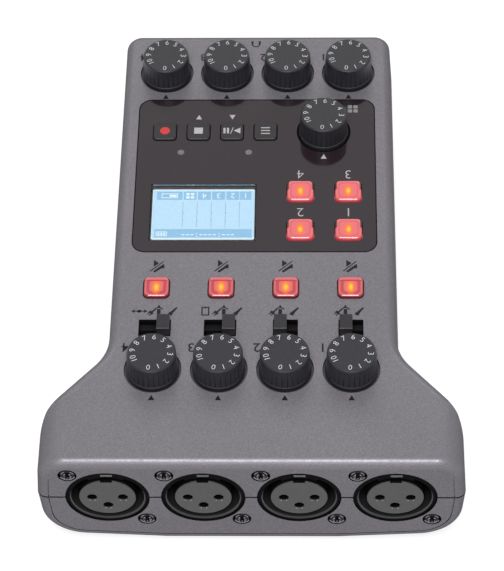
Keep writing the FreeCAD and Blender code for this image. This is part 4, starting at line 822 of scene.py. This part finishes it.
def filled(outlines, thick, bevel):
    """A plate between closed outlines, with rounded edges, in metres; its top lies on z = 0."""
    curve = bpy.data.curves.new("plate", "CURVE")
    curve.dimensions = "2D"
    curve.fill_mode = "BOTH"
    for points in outlines:
        spline = curve.splines.new("POLY")
        spline.points.add(len(points) - 1)
        for point, (x, y) in zip(spline.points, points):
            point.co = (x * MM, y * MM, 0, 1)
        spline.use_cyclic_u = True
    curve.extrude = (thick / 2 - bevel) * MM
    curve.bevel_depth = bevel * MM
    curve.bevel_resolution = 3
    curve.offset = -bevel * MM
    mesh = curve_mesh(curve)
    mesh.transform(Matrix.Translation(Vector((0, 0, -thick / 2)) * MM))
    return mesh


def core_outlines():
    """The round core with its key slot at the top, and its three contact holes."""
    edge = math.degrees(math.asin(KEY_HALF / CORE_RADIUS))
    count = 72
    rim = []
    for i in range(count + 1):
        a = math.radians(90 + edge + (360 - 2 * edge) * i / count)
        rim.append((CORE_RADIUS * math.cos(a), CORE_RADIUS * math.sin(a)))
    slot = [(KEY_HALF, KEY_FLOOR), (-KEY_HALF, KEY_FLOOR)]
    holes = [disc(x, z, CONTACT_HOLE, 32) for x, z in CONTACTS]
    return [rim + slot] + holes


def screw_head():
    """A low dome with a cross recess, on a grid of rings; its top lies on z = 0."""
    dome, recess, foot = 0.6, 0.85, 1.0
    arm_half, arm_slope, arm_end, end_slope = 0.5, 0.16, 1.5, 0.25
    bm = bmesh.new()
    rings, count = 16, 48
    rows = [[bm.verts.new((0, 0, -recess * MM))]]
    for i in range(1, rings + 1):
        r = SCREW_HEAD * i / rings
        row = []
        for j in range(count):
            a = 2 * math.pi * j / count
            x, y = r * math.cos(a), r * math.sin(a)
            beside = min(abs(x), abs(y))
            cross = min(1.0, max(0.0, (arm_half - beside) / arm_slope))
            cross *= min(1.0, max(0.0, (arm_end - r) / end_slope))
            z = -dome * (r / SCREW_HEAD) ** 3 - recess * cross
            row.append(bm.verts.new((x * MM, y * MM, z * MM)))
        rows.append(row)
    rows.append([bm.verts.new((v.co.x, v.co.y, -foot * MM)) for v in rows[-1]])
    for j in range(count):
        k = (j + 1) % count
        bm.faces.new((rows[0][0], rows[1][j], rows[1][k]))
        for inner, outer in zip(rows[1:], rows[2:]):
            bm.faces.new((inner[j], outer[j], outer[k], inner[k]))
    mesh = bpy.data.meshes.new("screw_head")
    bm.to_mesh(mesh)
    bm.free()
    return mesh


def ring_part(inner, outer, start, turn, count):
    """Outline of a piece of a ring, from a first angle and through a turn, in degrees."""
    angles = [math.radians(start + turn * i / count) for i in range(count + 1)]
    return ([(outer * math.cos(a), outer * math.sin(a)) for a in angles]
            + [(inner * math.cos(a), inner * math.sin(a)) for a in reversed(angles)])


def glint(radius, wide, start, end):
    """A painted highlight of a bright edge: a thin piece of a ring, with its top on z = 0."""
    outline = ring_part(radius - wide / 2, radius + wide / 2, start, end - start, 12)
    return filled([outline], GLINT_DEPTH, 0.005)


def sockets():
    """Moulded cores with sprung contacts, the latch of each housing and the screws, with painted shadow
    on the cores, in the gaps and round the heads, and painted highlights.
    """
    made = {}

    def stand(group, mesh, x, z, back):
        made.setdefault(group, []).append(upright(mesh, x, z, back))

    for number in CHANNELS:
        x = (number - 2.5) * SOCKET_PITCH
        outlines = core_outlines()
        # The body of each core is in painted shadow, black behind its grey front face
        stand("cores", filled(outlines, CORE_DEPTH, CORE_BEVEL), x, PARTING, CORE_BACK)
        stand("faces", filled(outlines, FACE_DEPTH, FACE_BEVEL), x, PARTING, FACE_BACK)
        for across, up in CONTACTS:
            tube = [disc(0, 0, SLEEVE_OUTER, 24), list(reversed(disc(0, 0, SLEEVE_INNER, 24)))]
            stand("sleeves", filled(tube, SLEEVE_LENGTH, 0.03), x + across, PARTING + up, SLEEVE_BACK)
            # Painted highlights: two glowing specks under each contact hole
            for side in SPARK_SIDES:
                spark = filled([disc(0, 0, SPARK_RADIUS, 10)], GLINT_DEPTH, 0.01)
                stand("glints", spark, x + across + side, PARTING + up - SPARK_DROP, SPARK_BACK)
        # Painted shadow: a black crescent in the gap round the ring, thickest at the top, and a black
        # bay above the core
        ring = list(reversed(disc(0, -RING_DROP, RING_RADIUS, 72)))
        crescent = filled([disc(0, 0, HOLE_RADIUS, 72), ring], SHEET, 0.01)
        stand("gaps", crescent, x, PARTING, GAP_BACK)
        bay = filled([ring_part(BAY_FLOOR, HOLE_RADIUS, BAY_START, BAY_SPAN, 16)], SHEET, 0.01)
        stand("gaps", bay, x, PARTING, BAY_BACK)
        latch = filled([box_shape(*LATCH_AT, *LATCH_SIZE)], 0.2, 0.05)
        stand("latches", latch, x, PARTING, LATCH_BACK)
        for sign in (1, -1):
            screw_x, screw_z = x + sign * SCREW_OFFSET, PARTING + sign * SCREW_OFFSET
            # Painted shadow: a black disc round the head, which shows above it as the dark side of a
            # raised head
            well_shadow = filled([disc(0, 0, WELL_RADIUS, 40)], 0.1, 0.02)
            stand("wells", well_shadow, screw_x, screw_z, WELL_BACK)
            stand("heads", screw_head(), screw_x, screw_z - HEAD_DROP, HEAD_BACK)
            for radius, wide, start, end, back in EDGE_LIGHTS:
                edge = glint(radius, wide, start, end)
                stand("glints", edge, screw_x, screw_z - HEAD_DROP, back)
    # Painted shadow on the bodies of the cores
    gathered("socket_cores_painted_shadow", made["cores"], PAINTED_SHADOW)
    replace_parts(gathered("socket_core_faces", made["faces"], INSERT), "xlr_inserts")
    gathered("contact_sleeves", made["sleeves"], GREY_METAL)
    gathered("socket_gap_shadows", made["gaps"], PAINTED_SHADOW)
    gathered("socket_latches", made["latches"], LATCH)
    gathered("screw_well_shadows", made["wells"], PAINTED_SHADOW)
    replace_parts(gathered("socket_screw_heads", made["heads"], SCREW, smooth=True), "socket_screws")
    gathered("edge_glints", made["glints"], EDGE_LIGHT)


dial_marks()
deck_signs()
panel_signs()
panel_line()
display()
sockets()


# Room, light and camera

def seen_rays(tree):
    """1 for the rays of the camera, of reflections and of clear things, else 0."""
    path = tree.nodes.new("ShaderNodeLightPath")
    total = path.outputs["Is Camera Ray"]
    for ray in ("Is Glossy Ray", "Is Transmission Ray"):
        either = tree.nodes.new("ShaderNodeMath")
        either.operation = "MAXIMUM"
        tree.links.new(total, either.inputs[0])
        tree.links.new(path.outputs[ray], either.inputs[1])
        total = either.outputs[0]
    return total


def world(strength):
    """A faint even light all round, which the rays of seen_rays find white."""
    made = bpy.data.worlds.new("studio")
    bpy.context.scene.world = made
    made.use_nodes = True
    tree = made.node_tree
    tree.nodes.clear()
    mixed = tree.nodes.new("ShaderNodeMixShader")
    tree.links.new(seen_rays(tree), mixed.inputs[0])
    for socket, level in ((1, strength), (2, 1.0)):
        background = tree.nodes.new("ShaderNodeBackground")
        background.inputs["Color"].default_value = (1, 1, 1, 1)
        background.inputs["Strength"].default_value = level
        tree.links.new(background.outputs[0], mixed.inputs[socket])
    out = tree.nodes.new("ShaderNodeOutputWorld")
    tree.links.new(mixed.outputs[0], out.inputs["Surface"])


# Grey of the paper, and the glow that it adds for the rays of seen_rays
PAPER, PAPER_GLOW = (0.36, 0.36, 0.36), 0.8


def floor():
    """Paper that takes the object's shadow, and looks white by its glow."""
    mesh = bpy.data.meshes.new("floor")
    size = 4.0
    corners = [(-size, -size, 0), (size, -size, 0), (size, size, 0), (-size, size, 0)]
    mesh.from_pydata(corners, [], [(0, 1, 2, 3)])
    piece = bpy.data.objects.new("floor", mesh)
    bpy.context.scene.collection.objects.link(piece)
    m = Material("floor_paper", PAPER, 0.9)
    m.bump(m.noise(220, 2.0), 0.05, 0.0002)
    m.shader.inputs["Emission Color"].default_value = (1, 1, 1, 1)
    glow = m.math("MULTIPLY", seen_rays(m.tree), PAPER_GLOW)
    m.link(glow, m.shader.inputs["Emission Strength"])
    mesh.materials.append(m.made)


def lamp(name, at, aim, size, power):
    """A soft rectangular lamp, in metres and watts, turned towards a point."""
    data = bpy.data.lights.new(name, "AREA")
    data.shape = "RECTANGLE"
    data.size, data.size_y = size
    data.energy = power
    piece = bpy.data.objects.new(name, data)
    bpy.context.scene.collection.objects.link(piece)
    piece.location = at
    piece.rotation_mode = "QUATERNION"
    piece.rotation_quaternion = (Vector(aim) - Vector(at)).to_track_quat("-Z", "Y")


# The photograph's view: angles in degrees, place in millimetres over the middle of the deck
IMAGE_WIDTH, IMAGE_HEIGHT = 504, 571
AZIMUTH, ELEVATION, ROLL = 182.170, 51.109, -1.698
CAMERA_AT = (-16.957, 461.680, 550.074)
FOCAL_PIXELS = 2595.11
MIDDLE_PIXEL = 254.08


def camera():
    """Stands behind the sockets and looks down, with a slight roll, as in the photograph."""
    azimuth, elevation, roll = (math.radians(a) for a in (AZIMUTH, ELEVATION, ROLL))
    back = Vector((math.sin(azimuth) * math.cos(elevation), -math.cos(azimuth) * math.cos(elevation),
                   math.sin(elevation)))
    right = (-back).cross(Vector((0, 0, 1))).normalized()
    up = right.cross(-back)
    turned_right = right * math.cos(roll) + up * math.sin(roll)
    turned_up = up * math.cos(roll) - right * math.sin(roll)
    data = bpy.data.cameras.new("camera")
    data.sensor_width = 36
    data.lens = FOCAL_PIXELS * data.sensor_width / IMAGE_HEIGHT
    data.shift_x = -(MIDDLE_PIXEL - IMAGE_WIDTH / 2) / IMAGE_HEIGHT
    data.clip_start = 0.01
    piece = bpy.data.objects.new("camera", data)
    bpy.context.scene.collection.objects.link(piece)
    rows = Matrix((turned_right, turned_up, back)).transposed().to_4x4()
    x, y, height = CAMERA_AT
    piece.matrix_world = Matrix.Translation(Vector((x, y, height + DECK)) * MM) @ rows
    bpy.context.scene.camera = piece


bpy.context.scene.view_settings.view_transform = "Standard"
world(0.07)
floor()
lamp("overhead", (0.0, 0.5, 1.05), (0, 0, 0), (0.42, 0.38), 9.9)
lamp("key", (0.15, 1.1, 0.85), (0, 0, 0.03), (0.9, 0.6), 3.4)
lamp("far", (0, -1.25, 0.82), (0, 0, 0.03), (1.8, 0.6), 5.0)
camera()
